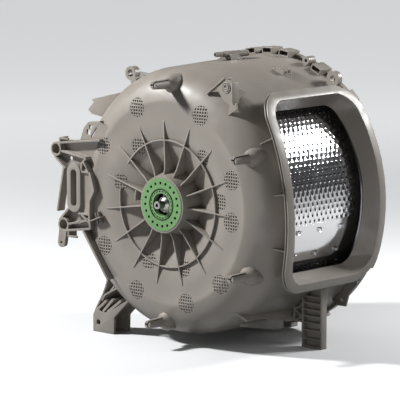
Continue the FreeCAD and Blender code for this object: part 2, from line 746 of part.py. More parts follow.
def hanger_ear(core):
    """The ear for the suspension spring: a pointed plate with a hole and a rib behind it."""
    hole = polar(EAR_R, EAR_ANGLE)
    top = (hole.x, hole.z + EAR_BOSS_R + EAR_T)
    left = (hole.x - EAR_WING, hole.z - EAR_WING / 2)
    tip = (hole.x + EAR_T, hole.z - EAR_TIP)
    side = (hole.x + EAR_BOSS_R + EAR_T, hole.z + EAR_T)
    blank = plate([left, (top[0] - EAR_BOSS_R, top[1]), top, side, tip], EAR_Y, EAR_T)
    boss = pin(EAR_BOSS_R, EAR_Y - EAR_BOSS_T, EAR_Y + EAR_T, hole.x, hole.z)
    rib = fin([(EAR_R - EAR_T, EAR_Y), (EAR_R - EAR_T, EAR_Y + EAR_T), (shell_r(EAR_RIB_END_Y), EAR_RIB_END_Y),
               (FACE_END_R, EAR_RIB_END_Y), (FACE_END_R, EAR_Y)], EAR_ANGLE - EAR_RIB_T, EAR_RIB_T)
    bore = pin(EAR_HOLE_R, EAR_Y - EAR_BOSS_T, EAR_Y + EAR_T, hole.x, hole.z)
    return biggest(joined([blank, boss, rib]).cut(bore).cut(core))


def eye_lug(core):
    """The round eye at the upper left, with the low rib that carries it."""
    centre = polar(LUG_R, LUG_ANGLE)
    eye = pin(LUG_OUT_R, LUG_Y, LUG_Y + LUG_LENGTH, centre.x, centre.z)
    bore = pin(LUG_BORE_R, LUG_Y, LUG_Y + LUG_LENGTH, centre.x, centre.z)
    rib = fin([(FACE_END_R, LUG_Y), (LUG_R, LUG_Y), (LUG_R, LUG_Y + LUG_LENGTH),
               (shell_r(LUG_RIB_END_Y), LUG_RIB_END_Y), (FACE_END_R, LUG_RIB_END_Y)],
              LUG_ANGLE, LUG_LENGTH)
    return biggest(joined([eye, rib]).cut(bore).cut(core))


def cable_tab(core, others):
    """A small tab with a square hole, a pit and a slot, above the motor bracket."""
    x, z = TAB_POINT
    half = TAB_HOLE / 2
    depth = (TAB_Y, TAB_Y + TAB_DEPTH)
    solids = [plate(TAB_OUTLINE, TAB_Y, TAB_T)]
    solids.extend(wall_chain(TAB_OUTLINE[1:5], WALL, TAB_Y, TAB_DEPTH))
    holes = [block((x - half, x + half), depth, (z - half, z + half)),
             block(TAB_PIT[0], depth, TAB_PIT[1]),
             wall(*TAB_SLOT, WALL, TAB_Y, TAB_DEPTH)]
    return biggest(joined(solids).cut(Part.makeCompound(holes)).cut(core).cut(others))


# Motor bracket

def motor_webs():
    """The plates that close the bracket between its walls, two of them set deep."""
    upper_x, upper_z = MOTOR_UPPER
    lower_x, lower_z = MOTOR_LOWER
    loop_x, loop_z = LOOP_POINT
    loop_top = (loop_x, loop_z + LOOP_HALF + LOOP_R)
    loop_foot = (loop_x, loop_z - LOOP_HALF - LOOP_R)
    upper = [(upper_x, upper_z + MOTOR_BOSS_R), MOTOR_ROOT_UPPER, ZIGZAG[0], loop_top, ARM_FOOT, ARM_TOP]
    light = [loop_top, *ZIGZAG[:4], loop_foot]
    lower = [loop_foot, ZIGZAG[3], MOTOR_ROOT_LOWER, (lower_x, lower_z - MOTOR_BOSS_R), LOWER_DIAGONAL[1],
             LOWER_DIAGONAL[0]]
    return [plate(upper, MOTOR_WEB_Y, MOTOR_WEB_T), plate(light, LIGHT_WEB_Y, MOTOR_WEB_T),
            plate(lower, MOTOR_WEB_Y, MOTOR_WEB_T)]


def wire_hooks():
    """The two hooks that hold the motor's wires on the arms."""
    solids = []
    for x, z, way in WIRE_HOOKS:
        top = z + way * WIRE_HOOK_HEIGHT
        solids.append(block((x - WALL / 2, x + WALL / 2), (MOTOR_Y, MOTOR_Y + WIRE_HOOK_LENGTH),
                            (z - way * MOTOR_WALL, top)))
        solids.append(block((x - WALL / 2, x + WIRE_HOOK_LENGTH), (MOTOR_Y, MOTOR_Y + MOTOR_WALL),
                            (top - way * WALL, top)))
    return solids


def motor_bracket(core):
    """The bracket that carries the motor on two bosses, with a tall loop between them."""
    end_y = MOTOR_Y + MOTOR_LENGTH
    deep = (MOTOR_WALL, MOTOR_Y, MOTOR_WALL_DEPTH)
    upper_x, upper_z = MOTOR_UPPER
    lower_x, lower_z = MOTOR_LOWER
    rim = MOTOR_BOSS_R - MOTOR_WALL / 2
    solids = [pin(MOTOR_BOSS_R, MOTOR_Y, end_y, *MOTOR_UPPER),
              pin(MOTOR_BOSS_R, MOTOR_Y, end_y, *MOTOR_LOWER),
              tall_slot(LOOP_POINT, LOOP_R, LOOP_HALF, LOOP_Y, LOOP_DEPTH),
              wall((upper_x, upper_z + rim), MOTOR_ROOT_UPPER, *deep),
              wall((lower_x, lower_z - rim), MOTOR_ROOT_LOWER, *deep),
              wall(ARM_TOP, ARM_FOOT, *deep),
              wall(FIN_TOP, FIN_FOOT, MOTOR_WALL, MOTOR_Y, FIN_DEPTH),
              wall(MOTOR_LOWER, STRAP_END, STRAP_WIDTH, MOTOR_Y, STRAP_T),
              pin(STRAP_WIDTH / 2, MOTOR_Y, MOTOR_Y + STRAP_T, *STRAP_END)]
    for chain in (MIDDLE_RIB, ZIGZAG, LOWER_DIAGONAL, RING_RIB, CROSS_RIB, LIGHT_FOOT):
        solids.extend(wall_chain(chain, *deep))
    for x, z in RING_PLACES:
        solids.append(pin(RING_OUT_R, MOTOR_Y, MOTOR_Y + MOTOR_WALL_DEPTH, x, z))
    solids.extend(motor_webs())
    solids.extend(wire_hooks())
    seat_y = MOTOR_Y + MOTOR_BORE_DEPTH
    bores = [tall_slot(LOOP_POINT, LOOP_OPENING_R, LOOP_OPENING_HALF, LOOP_Y, LOOP_DEPTH),
             pin(STRAP_HOLE_R, MOTOR_Y, MOTOR_Y + STRAP_T, *STRAP_END),
             pin(WINDOW_R, MOTOR_WEB_Y, MOTOR_WEB_Y + MOTOR_WEB_T, *WINDOW_POINT)]
    for place in (MOTOR_UPPER, MOTOR_LOWER):
        bores.append(pin(MOTOR_BORE_R, MOTOR_Y, seat_y, *place))
        bores.append(pin(MOTOR_BOLT_R, MOTOR_Y, end_y, *place))
    for x, z in RING_PLACES:
        bores.append(pin(RING_BORE_R, MOTOR_Y, MOTOR_Y + MOTOR_BORE_DEPTH, x, z))
    return biggest(joined(solids).cut(Part.makeCompound(bores)).cut(core))


def tangent_web(core, others):
    """The straight edge web between the motor bracket and the shock-absorber bracket."""
    return biggest(wall(TANGENT_START, TANGENT_END, TANGENT_T, MOTOR_Y, LOOP_DEPTH).cut(core).cut(others))


# Shock-absorber brackets

def shock_bracket(core):
    """The lower bracket: two cheeks with a hole across them, walls between them and a foot."""
    foot_near, foot_far = SHOCK_FOOT_X
    back_y = SHOCK_Y + SHOCK_DEPTH
    foot = [(foot_near, FLOOR_Z), (foot_far, FLOOR_Z)]
    front = [*SHOCK_OUTLINE[-2:], *foot, *SHOCK_HEEL[:2], *reversed(SHOCK_CHEEK_TOP)]
    back = [*SHOCK_OUTLINE, *foot, *SHOCK_HEEL]
    solids = [plate(front, SHOCK_Y, SHOCK_PLATE_T),
              plate(back, back_y - SHOCK_PLATE_T, SHOCK_PLATE_T),
              block(SHOCK_FOOT_X, (SHOCK_Y, back_y), (FLOOR_Z, FLOOR_Z + WALL))]
    for chain in ([*SHOCK_OUTLINE, foot[0]], SHOCK_INNER_WALL, SHOCK_RIB_WALL):
        solids.extend(wall_chain(chain, WALL, SHOCK_Y, SHOCK_DEPTH))
    for start, end in SHOCK_TEETH:
        solids.append(wall(start, end, SHOCK_TOOTH_T, SHOCK_Y, SHOCK_DEPTH))
    hole = pin(SHOCK_HOLE_R, SHOCK_Y, back_y, *SHOCK_HOLE)
    return biggest(joined(solids).cut(hole).cut(core))


def wing_bracket(core):
    """The upper bracket: a pointed plate with a flange along its top."""
    blank = plate(WING_OUTLINE, WING_Y, WING_T)
    start, end = WING_OUTLINE[0], WING_OUTLINE[1]
    top = wall(start, end, WALL, WING_Y, WING_DEPTH)
    return biggest(joined([blank, top]).cut(core))


# Leg and rails

def support_leg(core, collar):
    """The ladder-like leg under the mouth, with the box beside its upper half."""
    back = LEG_Y + LEG_DEPTH
    depth = (LEG_Y, back)
    inner = (LEG_X + LEG_WALL, LEG_END_X - LEG_WALL)
    box_x = LEG_X - BOX_WIDTH
    solids = [block((LEG_X, LEG_X + LEG_WALL), depth, (FLOOR_Z, LEG_TOP_Z)),
              block((LEG_END_X - LEG_WALL, LEG_END_X), depth, (FLOOR_Z, LEG_TOP_Z)),
              block((box_x, LEG_END_X), (back - WALL, back), (BOX_FLOOR_Z, LEG_TOP_Z)),
              block((LEG_X, LEG_END_X), (back - WALL, back), (FLOOR_Z, BOX_FLOOR_Z)),
              block((box_x, box_x + WALL), depth, (BOX_FLOOR_Z, LEG_TOP_Z)),
              block((box_x, LEG_X), depth, (BOX_FLOOR_Z, BOX_FLOOR_Z + WALL)),
              block((LEG_X, LEG_END_X), depth, (FLOOR_Z, FLOOR_Z + LEG_WALL))]
    for k in range(BOX_RUNGS):
        z = BOX_FLOOR_Z + BOX_RUNG_PITCH * k
        solids.append(block(inner, depth, (z, z + RUNG_T)))
    rung = FLOOR_Z + LEG_RUNG_PITCH
    while rung < BOX_FLOOR_Z - LEG_RUNG_PITCH / 2:
        solids.append(block(inner, depth, (rung, rung + RUNG_T)))
        rung += LEG_RUNG_PITCH
    step = (LEG_TOP_Z - BOX_FLOOR_Z) / 2 / BOX_ZIGZAGS
    for k in range(BOX_ZIGZAGS):
        low = (box_x + WALL / 2, BOX_FLOOR_Z + step * k)
        high = (LEG_X + WALL / 2, BOX_FLOOR_Z + step * (k + 1))
        if k % 2:
            low, high = (high[0], low[1]), (low[0], high[1])
        solids.append(wall(low, high, RUNG_T, LEG_Y, LEG_DEPTH))
    return biggest(joined(solids).cut(core).cut(collar))


def side_rail(core, leg):
    """The long pointed rail on the lower right, from the shoulder to the leg."""
    items = [(FACE_END_R, RAIL_Y), (shell_r(RAIL_Y), RAIL_Y), (RAIL_R, RAIL_POINT_Y), (RAIL_R, LEG_Y),
             (FACE_END_R, LEG_Y)]
    return biggest(fin(items, RAIL_ANGLE, RAIL_T).cut(core).cut(leg))


def keel_plate(x, core, leg, rail):
    """A tapered plate under the barrel, deepest beside the leg."""
    reach = math.sqrt(SHELL_R ** 2 - x ** 2)
    end_y = LEG_Y + LEG_DEPTH
    points = [(KEEL_Y, -reach + KEEL_REACH), (KEEL_Y, -reach - RAIL_T), (end_y - KEEL_REACH, -reach - KEEL_REACH),
              (end_y, -reach - KEEL_REACH), (end_y, -reach + KEEL_REACH)]
    face = outline_face(points, lambda point: Vector(x, point[0], point[1]))
    return biggest(face.extrude(Vector(RAIL_T, 0, 0)).cut(core).cut(leg).cut(rail))


# Fittings on the barrel and the rear flange

def vent_tube(core):
    """The small pressure nozzle on top, lying on its moulded base."""
    way = VENT_END - VENT_START
    shoulder = VENT_START + way * (VENT_TIP_LENGTH / way.Length)
    tip = Part.makeCylinder(VENT_TIP_R, VENT_TIP_LENGTH, VENT_START, way)
    tube = Part.makeCylinder(VENT_R, way.Length - VENT_TIP_LENGTH, shoulder, way)
    bore = Part.makeCylinder(VENT_BORE_R, way.Length - VENT_R, VENT_START, way)
    half = VENT_BASE_WIDTH / 2
    base = block((-half, half), (shoulder.y + VENT_R, VENT_END.y - VENT_BASE_INSET),
                 (FACE_END_R, VENT_START.z))
    return biggest(joined([tip, tube, base]).cut(bore).cut(core))


def barrel_clip(core):
    """A small moulded clip: a pad with three fins."""
    radius = shell_r(CLIP_Y)
    pad = block((FACE_END_R, radius + CLIP_FIN_T), (CLIP_Y, CLIP_Y + CLIP_LENGTH),
                (-CLIP_LENGTH / 2, CLIP_LENGTH / 2))
    pitch = (CLIP_LENGTH - CLIP_FIN_T) / (CLIP_FINS - 1)
    fins = [block((FACE_END_R, radius + CLIP_HEIGHT), (CLIP_Y + pitch * k, CLIP_Y + pitch * k + CLIP_FIN_T),
                  (-CLIP_LENGTH / 2 + CLIP_FIN_T * k, CLIP_LENGTH / 2 - CLIP_FIN_T * (CLIP_FINS - k)))
            for k in range(CLIP_FINS)]
    return biggest(turned(joined([pad] + fins), CLIP_ANGLE).cut(core))


def drain_outlet(core):
    """The short round outlet at the side that faces down in the machine, with a stop for its hose."""
    way = Vector(-1, 0, 0)
    centre = Vector(0, DRAIN_Y, 0)
    tube = Part.makeCylinder(DRAIN_R, DRAIN_REACH, centre, way)
    stop = Part.makeCylinder(DRAIN_STOP_R, DRAIN_STOP, centre, way)
    bore = Part.makeCylinder(DRAIN_BORE_R, DRAIN_REACH, centre, way)
    return biggest(joined([tube, stop]).cut(bore).cut(core))


def flange_eye(core, cover, radius, angle, out_r, bore_r, y_start, y_end):
    """A round eye on the rear edge of the barrel."""
    centre = polar(radius, angle)
    eye = pin(out_r, y_start, y_end, centre.x, centre.z)
    arm = fin([(FACE_END_R, y_start), (radius, y_start), (radius, y_end), (FACE_END_R, y_end)], angle, out_r)
    bore = pin(bore_r, y_start, y_end, centre.x, centre.z)
    return biggest(joined([eye, arm]).cut(bore).cut(core).cut(cover))


def rear_tab(core, collar):
    """The slotted plate behind the leg, with its pointed tab."""
    blank = plate(REAR_TAB_OUTLINE, REAR_TAB_Y, REAR_TAB_T)
    hole = pin(REAR_TAB_HOLE_R, REAR_TAB_Y, REAR_TAB_Y + REAR_TAB_T, *REAR_TAB_HOLE)
    return biggest(blank.cut(hole).cut(core).cut(collar))


def rear_foot():
    """The foot under the far cover."""
    foot = block((-REAR_FOOT_HALF, REAR_FOOT_HALF), (SEAM_Y, SEAM_Y + REAR_FOOT_LENGTH),
                 (FLOOR_Z, -FAR_FACE_END_R))
    return biggest(foot.cut(far_core()))


def seam_clip(angle):
    """A moulded clip over both flanges, with a pocket in its front."""
    start_y = SEAM_Y - FLANGE_T - SEAM_CLIP_BODY
    end_y = SEAM_Y + FLANGE_T + SEAM_CLIP_SKIN
    lip_r = FLANGE_R - SEAM_CLIP_LIP
    items = [(shell_r(start_y), start_y), (SEAM_CLIP_OUT_R, start_y), (SEAM_CLIP_OUT_R, end_y),
             (lip_r, end_y), (lip_r, SEAM_Y + FLANGE_T), (FLANGE_R, SEAM_Y + FLANGE_T),
             (FLANGE_R, SEAM_Y - FLANGE_T), (shell_r(SEAM_Y - FLANGE_T), SEAM_Y - FLANGE_T)]
    body = spun(items, angle - SEAM_CLIP_SWEEP / 2, SEAM_CLIP_SWEEP)
    skin_angle = math.degrees(SEAM_CLIP_SKIN / FLANGE_R)
    pocket = band(shell_r(SEAM_Y) + SEAM_CLIP_SKIN, SEAM_CLIP_OUT_R - SEAM_CLIP_SKIN, start_y,
                  start_y + SEAM_CLIP_POCKET, angle - SEAM_CLIP_SWEEP / 2 + skin_angle,
                  SEAM_CLIP_SWEEP - 2 * skin_angle)
    return body.cut(pocket)


def seam_clips():
    """The clips round the seam, but none where another piece of the tub is."""
    clips = []
    for k in range(SEAM_CLIPS):
        angle = -180.0 + 360.0 / SEAM_CLIPS * k
        under_rim = abs(angle - MOUTH_ANGLE) < rim_reach(SEAM_CLIP_OUT_R) + SEAM_CLIP_SWEEP
        if not under_rim and not any(low < angle < high for low, high in SEAM_CLIP_SKIP):
            clips.append(seam_clip(angle))
    return Part.makeCompound(clips)


# Hub: the same pieces at both ends

def bearing_carrier():
    """The round flanged carrier of a bearing, with its ring of holes and its slotted groove."""
    items = [(GROOVE_OUT_R, 0), (CARRIER_FLANGE_R, 0), (CARRIER_FLANGE_R, CARRIER_FLANGE_T),
             (CARRIER_R, CARRIER_FLANGE_T), (CARRIER_R, BOSS_END_Y), (BEARING_R, BOSS_END_Y),
             (BEARING_R, BEARING_Y), (CARRIER_MOUTH_R, BEARING_Y), (CARRIER_MOUTH_R, 0),
             (GROOVE_IN_R, 0), (GROOVE_IN_R, GROOVE_DEPTH), (GROOVE_OUT_R, GROOVE_DEPTH)]
    cuts = []
    for k in range(CARRIER_HOLES):
        centre = polar(CARRIER_HOLE_PATH_R, CARRIER_HOLE_FIRST + 360.0 / CARRIER_HOLES * k)
        cuts.append(pin(CARRIER_HOLE_R, 0, CARRIER_FLANGE_T, centre.x, centre.z))
    slot = block((SLOT_PATH_R - SLOT_WIDTH / 2, SLOT_PATH_R + SLOT_WIDTH / 2), (0, SLOT_DEPTH),
                 (-SLOT_LENGTH / 2, SLOT_LENGTH / 2))
    for k in range(SLOT_COUNT):
        cuts.append(turned(slot, 360.0 / SLOT_COUNT * k))
    return spun(items).cut(Part.makeCompound(cuts))


def race_track():
    """The round groove that the balls run in."""
    middle = Vector(0, BEARING_Y + BEARING_W / 2, 0)
    return Part.makeTorus(BALL_PATH_R, BALL_R + BALL_GAP, middle, ALONG_Y)


def outer_race():
    """The outer ring of a ball bearing."""
    return band(BEARING_R - RACE_T, BEARING_R, BEARING_Y, BEARING_Y + BEARING_W).cut(race_track())


def inner_race():
    """The inner ring of a ball bearing."""
    return band(SHAFT_R, SHAFT_R + RACE_T, BEARING_Y, BEARING_Y + BEARING_W).cut(race_track())


def bearing_balls():
    """The balls of a ball bearing."""
    balls = []
    for k in range(BALL_COUNT):
        centre = polar(BALL_PATH_R, 360.0 / BALL_COUNT * k, BEARING_Y + BEARING_W / 2)
        balls.append(Part.makeSphere(BALL_R, centre))
    return Part.makeCompound(balls)


def snap_ring():
    """The open spring ring that holds a bearing in its carrier."""
    start_y = BEARING_Y + BEARING_W
    return band(BEARING_R - SNAP_RING_W, BEARING_R, start_y, start_y + SNAP_RING_T, 0, SNAP_RING_SWEEP)


def shaft_seal():
    """The rubber lip seal behind a bearing."""
    lip_r = SHAFT_COLLAR_R + SEAL_LIP_GAP
    mid_r = (BEARING_R + lip_r) / 2
    end_y = SEAL_Y + SEAL_W
    items = [(lip_r, SEAL_Y + SEAL_W / 3), (mid_r, SEAL_Y), (BEARING_R, SEAL_Y), (BEARING_R, end_y),
             (mid_r, end_y), (mid_r, SEAL_Y + SEAL_W / 2), (lip_r, end_y)]
    return spun(items)


def shaft(with_tip):
    """A steel stub shaft, with the pulley's tip at the drive end only."""
    cone_y = SHAFT_TIP_END_Y + SHAFT_CONE
    start = [(0, SHAFT_TIP_Y), (SHAFT_TIP_R, SHAFT_TIP_Y), (SHAFT_TIP_R, SHAFT_TIP_END_Y)]
    if not with_tip:
        start = [(0, SHAFT_TIP_END_Y), (SHAFT_TIP_R, SHAFT_TIP_END_Y)]
    items = start + [(SHAFT_R, cone_y), (SHAFT_R, BEARING_Y + BEARING_W),
                     (SHAFT_COLLAR_R, BEARING_Y + BEARING_W), (SHAFT_COLLAR_R, DISC_Y), (0, DISC_Y)]
    hole = pin(SHAFT_HOLE_R, SHAFT_TIP_Y, SHAFT_TIP_Y + SHAFT_HOLE_DEPTH)
    return spun(items).cut(hole) if with_tip else spun(items)


def shaft_spacer():
    """The domed steel ring between the bearing and the pulley."""
    middle_y = (SPACER_Y + BEARING_Y) / 2
    items = [(SHAFT_R, SPACER_Y), (SHAFT_R + RACE_T / 2, SPACER_Y), (SPACER_R, middle_y),
             (SPACER_R, BEARING_Y), (SHAFT_R, BEARING_Y)]
    return spun(items)


def spud_places():
    """Places of the bolts that hold a shaft's flange to the drum."""
    return [polar(SPUD_BOLT_PATH_R, 360.0 / SPUD_BOLTS * k) for k in range(SPUD_BOLTS)]


def shaft_flange():
    """The cast flange that carries one end of the drum."""
    plate_y = DISC_Y - SPUD_PLATE_T
    items = [(SHAFT_COLLAR_R, SPUD_Y), (SPUD_R, SPUD_Y), (SPUD_R + SPUD_PLATE_T, plate_y),
             (SPUD_PLATE_R, plate_y), (SPUD_PLATE_R, DISC_Y), (SHAFT_COLLAR_R, DISC_Y)]
    cuts = [pin(SPUD_BOLT_R, plate_y, DISC_Y, place.x, place.z) for place in spud_places()]
    for k in range(SPUD_BOLTS):
        place = polar(SPUD_PLATE_R + SPUD_PLATE_T, 360.0 / SPUD_BOLTS * (k + 0.5))
        cuts.append(pin(SPUD_SCALLOP_R, SPUD_Y, DISC_Y, place.x, place.z))
    return spun(items).cut(Part.makeCompound(cuts))


def flange_bolts():
    """The bolts and nuts of one flange."""
    plate_y = DISC_Y - SPUD_PLATE_T
    inside_y = DISC_Y + SHEET_T
    bolts = []
    for place in spud_places():
        shank = pin(SPUD_BOLT_R, plate_y, inside_y, place.x, place.z)
        head = pin(SPUD_HEAD_R, plate_y - SPUD_HEAD_T, plate_y, place.x, place.z)
        nut = pin(SPUD_HEAD_R, inside_y, inside_y + SPUD_HEAD_T, place.x, place.z)
        bolts.append(joined([shank, head, nut]))
    return Part.makeCompound(bolts)


# Drum

def end_disc():
    """A pressed steel end of the drum, with a lip over the skin."""
    lip_in = DRUM_R + DISC_LIP_GAP
    lip_out = lip_in + SHEET_T
    items = [(DISC_BORE_R, DISC_Y), (DISC_FLAT_R, DISC_Y), (DISC_SLOPE_R, DISC_RIM_Y), (lip_out, DISC_RIM_Y),
             (lip_out, DRUM_START_Y + DISC_LIP), (lip_in, DRUM_START_Y + DISC_LIP), (lip_in, DRUM_START_Y),
             (DISC_SLOPE_R, DRUM_START_Y), (DISC_FLAT_R, DISC_Y + SHEET_T), (DISC_BORE_R, DISC_Y + SHEET_T)]
    bolts = [pin(SPUD_BOLT_R, DISC_Y, DISC_Y + SHEET_T, place.x, place.z) for place in spud_places()]
    return spun(items).cut(Part.makeCompound(bolts))


def drum_skin():
    """The rolled steel skin of the drum, open at its door."""
    skin = band(DRUM_R - SHEET_T, DRUM_R, DRUM_START_Y, DRUM_END_Y)
    door = band(DRUM_R - 2 * SHEET_T, DRUM_R + SHEET_T, DOOR_Y, DOOR_Y + DOOR_LENGTH,
                DOOR_ANGLE - DOOR_HALF, 2 * DOOR_HALF)
    return skin.cut(door)


def lifter(angle):
    """A hollow moulded paddle inside the drum."""
    inner = DRUM_R - SHEET_T
    top = inner - LIFTER_HEIGHT

    def ridge(base, crown, x_top):
        """The paddle's section between its base and its crown."""
        face = outline_face([(inner + SHEET_T, -base), (inner - LIFTER_TOP, -base), (x_top + crown, -crown),
                             ((x_top, 0), (x_top + crown, crown)), (inner - LIFTER_TOP, base),
                             (inner + SHEET_T, base)],
                            lambda point: Vector(point[0], 0, point[1]))
        return face

    start = DRUM_START_Y + LIFTER_END_GAP
    length = DRUM_END_Y - LIFTER_END_GAP - start
    outside = ridge(LIFTER_BASE, LIFTER_TOP, top).extrude(Vector(0, length, 0))
    hollow = ridge(LIFTER_BASE - LIFTER_WALL, LIFTER_TOP - LIFTER_WALL, top + LIFTER_WALL)
    hollow = hollow.extrude(Vector(0, length - 2 * LIFTER_WALL, 0))
    outside.translate(Vector(0, start, 0))
    hollow.translate(Vector(0, start + LIFTER_WALL, 0))
    seat = pin(inner, start - WALL, start + length + WALL)
    return turned(outside.cut(hollow).common(seat), angle)


def lifter_hooks():
    """The pressed steel hooks that hold the paddles through the skin."""
    middle = (DRUM_START_Y + DRUM_END_Y) / 2
    drum = pin(DRUM_R, DRUM_START_Y, DRUM_END_Y)
    hooks = []
    for k in range(LIFTER_COUNT):
        for row in HOOK_ROWS:
            for column in range(HOOK_COLUMNS):
                y = middle + HOOK_PITCH * (column - (HOOK_COLUMNS - 1) / 2)
                hook = block((DRUM_R - SHEET_T, DRUM_R + HOOK_HEIGHT),
                             (y - HOOK_LENGTH / 2, y + HOOK_LENGTH / 2), (-HOOK_WIDTH / 2, HOOK_WIDTH / 2))
                eye = pin(HOOK_WIDTH / 2, y - HOOK_LENGTH / 4, y + HOOK_LENGTH / 4,
                          DRUM_R + HOOK_HEIGHT + HOOK_WIDTH / 4, 0)
                angle = LIFTER_ANGLE + 360.0 / LIFTER_COUNT * k + row
                hooks.append(turned(hook.cut(eye).cut(drum), angle))
    return Part.makeCompound(hooks)


# Drum door

def rod_angle(side):
    """Angle of a flap's hinge rod; side is -1 for the front flap and 1 for the rear one."""
    return DOOR_ANGLE + side * (DOOR_HALF - math.degrees(ROD_INSET / DRUM_R))


def hinge_rod(side):
    """The steel rod that a flap swings on."""
    centre = polar(ROD_PATH_R, rod_angle(side))
    return pin(ROD_R, DOOR_Y - ROD_OVERRUN, DOOR_Y + DOOR_LENGTH + ROD_OVERRUN, centre.x, centre.z)


def rod_blocks():
    """The four bearings of the hinge rods, under the skin beside the door."""
    blocks = []
    middle = DOOR_Y + DOOR_LENGTH / 2
    reach = DOOR_LENGTH / 2 + FLAP_GAP
    seat = pin(DRUM_R - SHEET_T, DRUM_START_Y, DRUM_END_Y)
    for side in (-1, 1):
        for end in (-1, 1):
            near = middle + end * reach
            body = block((ROD_PATH_R - KNUCKLE_R, DRUM_R), (near, near + end * ROD_BLOCK_T),
                         (-ROD_BLOCK_HALF, ROD_BLOCK_HALF))
            hole = pin(ROD_R, DRUM_START_Y, DRUM_END_Y, ROD_PATH_R, 0)
            blocks.append(turned(body.cut(hole).common(seat), rod_angle(side)))
    return Part.makeCompound(blocks)


def flap(side):
    """One half of the drum door: a curved sheet with two knuckles on its hinge rod."""
    edge_gap = math.degrees(FLAP_GAP / DRUM_R)
    meeting = math.degrees(FLAP_MEETING_GAP / 2 / DRUM_R)
    sweep = DOOR_HALF - edge_gap - meeting
    start = DOOR_ANGLE + meeting if side > 0 else DOOR_ANGLE - DOOR_HALF + edge_gap
    pieces = [band(DRUM_R - SHEET_T, DRUM_R, DOOR_Y + FLAP_GAP, DOOR_Y + DOOR_LENGTH - FLAP_GAP, start, sweep)]
    middle = DOOR_Y + DOOR_LENGTH / 2
    bores = []
    for offset in (-KNUCKLE_SPACING / 2, KNUCKLE_SPACING / 2):
        low = middle + offset - KNUCKLE_LENGTH / 2
        high = low + KNUCKLE_LENGTH
        knuckle = joined([pin(KNUCKLE_R, low, high, ROD_PATH_R, 0),
                          block((ROD_PATH_R, DRUM_R - SHEET_T / 2), (low, high), (-ROD_R, ROD_R))])
        bores.append(turned(pin(ROD_R + ROD_CLEARANCE, low, high, ROD_PATH_R, 0), rod_angle(side)))
        pieces.append(turned(knuckle, rod_angle(side)))
    return joined(pieces).cut(Part.makeCompound(bores))


def button_angle():
    """Angle of the latch button, on the front flap beside the meeting line."""
    return DOOR_ANGLE - math.degrees(BUTTON_OFFSET / DRUM_R)


def front_flap():
    """The flap that carries the latch, with a hole for the button."""
    middle = DOOR_Y + DOOR_LENGTH / 2
    hole = Part.makeCylinder(BUTTON_R + BUTTON_CLEARANCE, 2 * KNUCKLE_R,
                             Vector(DRUM_R - KNUCKLE_R, middle, 0), Vector(1, 0, 0))
    return flap(-1).cut(turned(hole, button_angle()))


def latch_housing():
    """The box under the front flap that guides the button."""
    middle = DOOR_Y + DOOR_LENGTH / 2
    roof = DRUM_R - SHEET_T
    depth = BUTTON_DEPTH + BUTTON_TRAVEL + BUTTON_CLEARANCE
    floor = roof - depth
    half = HOUSING_SIDE / 2
    body = block((floor - HOUSING_FLOOR, DRUM_R), (middle - half, middle + half), (-half, half))
    well = Part.makeCylinder(BUTTON_R + BUTTON_CLEARANCE, depth + SHEET_T, Vector(floor, middle, 0), Vector(1, 0, 0))
    slot_half = TONGUE_WIDTH / 2 + BUTTON_CLEARANCE
    slot = block((floor, DRUM_R), (middle - slot_half, middle + slot_half), (0, half))
    seat = pin(roof, DRUM_START_Y, DRUM_END_Y)
    return turned(body.cut(well).cut(slot).common(seat), button_angle())


def latch_button():
    """The button with the tongue that holds the rear flap."""
    middle = DOOR_Y + DOOR_LENGTH / 2
    foot = DRUM_R - SHEET_T - BUTTON_DEPTH
    button = Part.makeCylinder(BUTTON_R, DRUM_R + BUTTON_PROUD - foot, Vector(foot, middle, 0), Vector(1, 0, 0))
    tongue = block((foot, foot + TONGUE_T), (middle - TONGUE_WIDTH / 2, middle + TONGUE_WIDTH / 2),
                   (0, TONGUE_LENGTH))
    return turned(joined([button, tongue]), button_angle())


# The whole tub

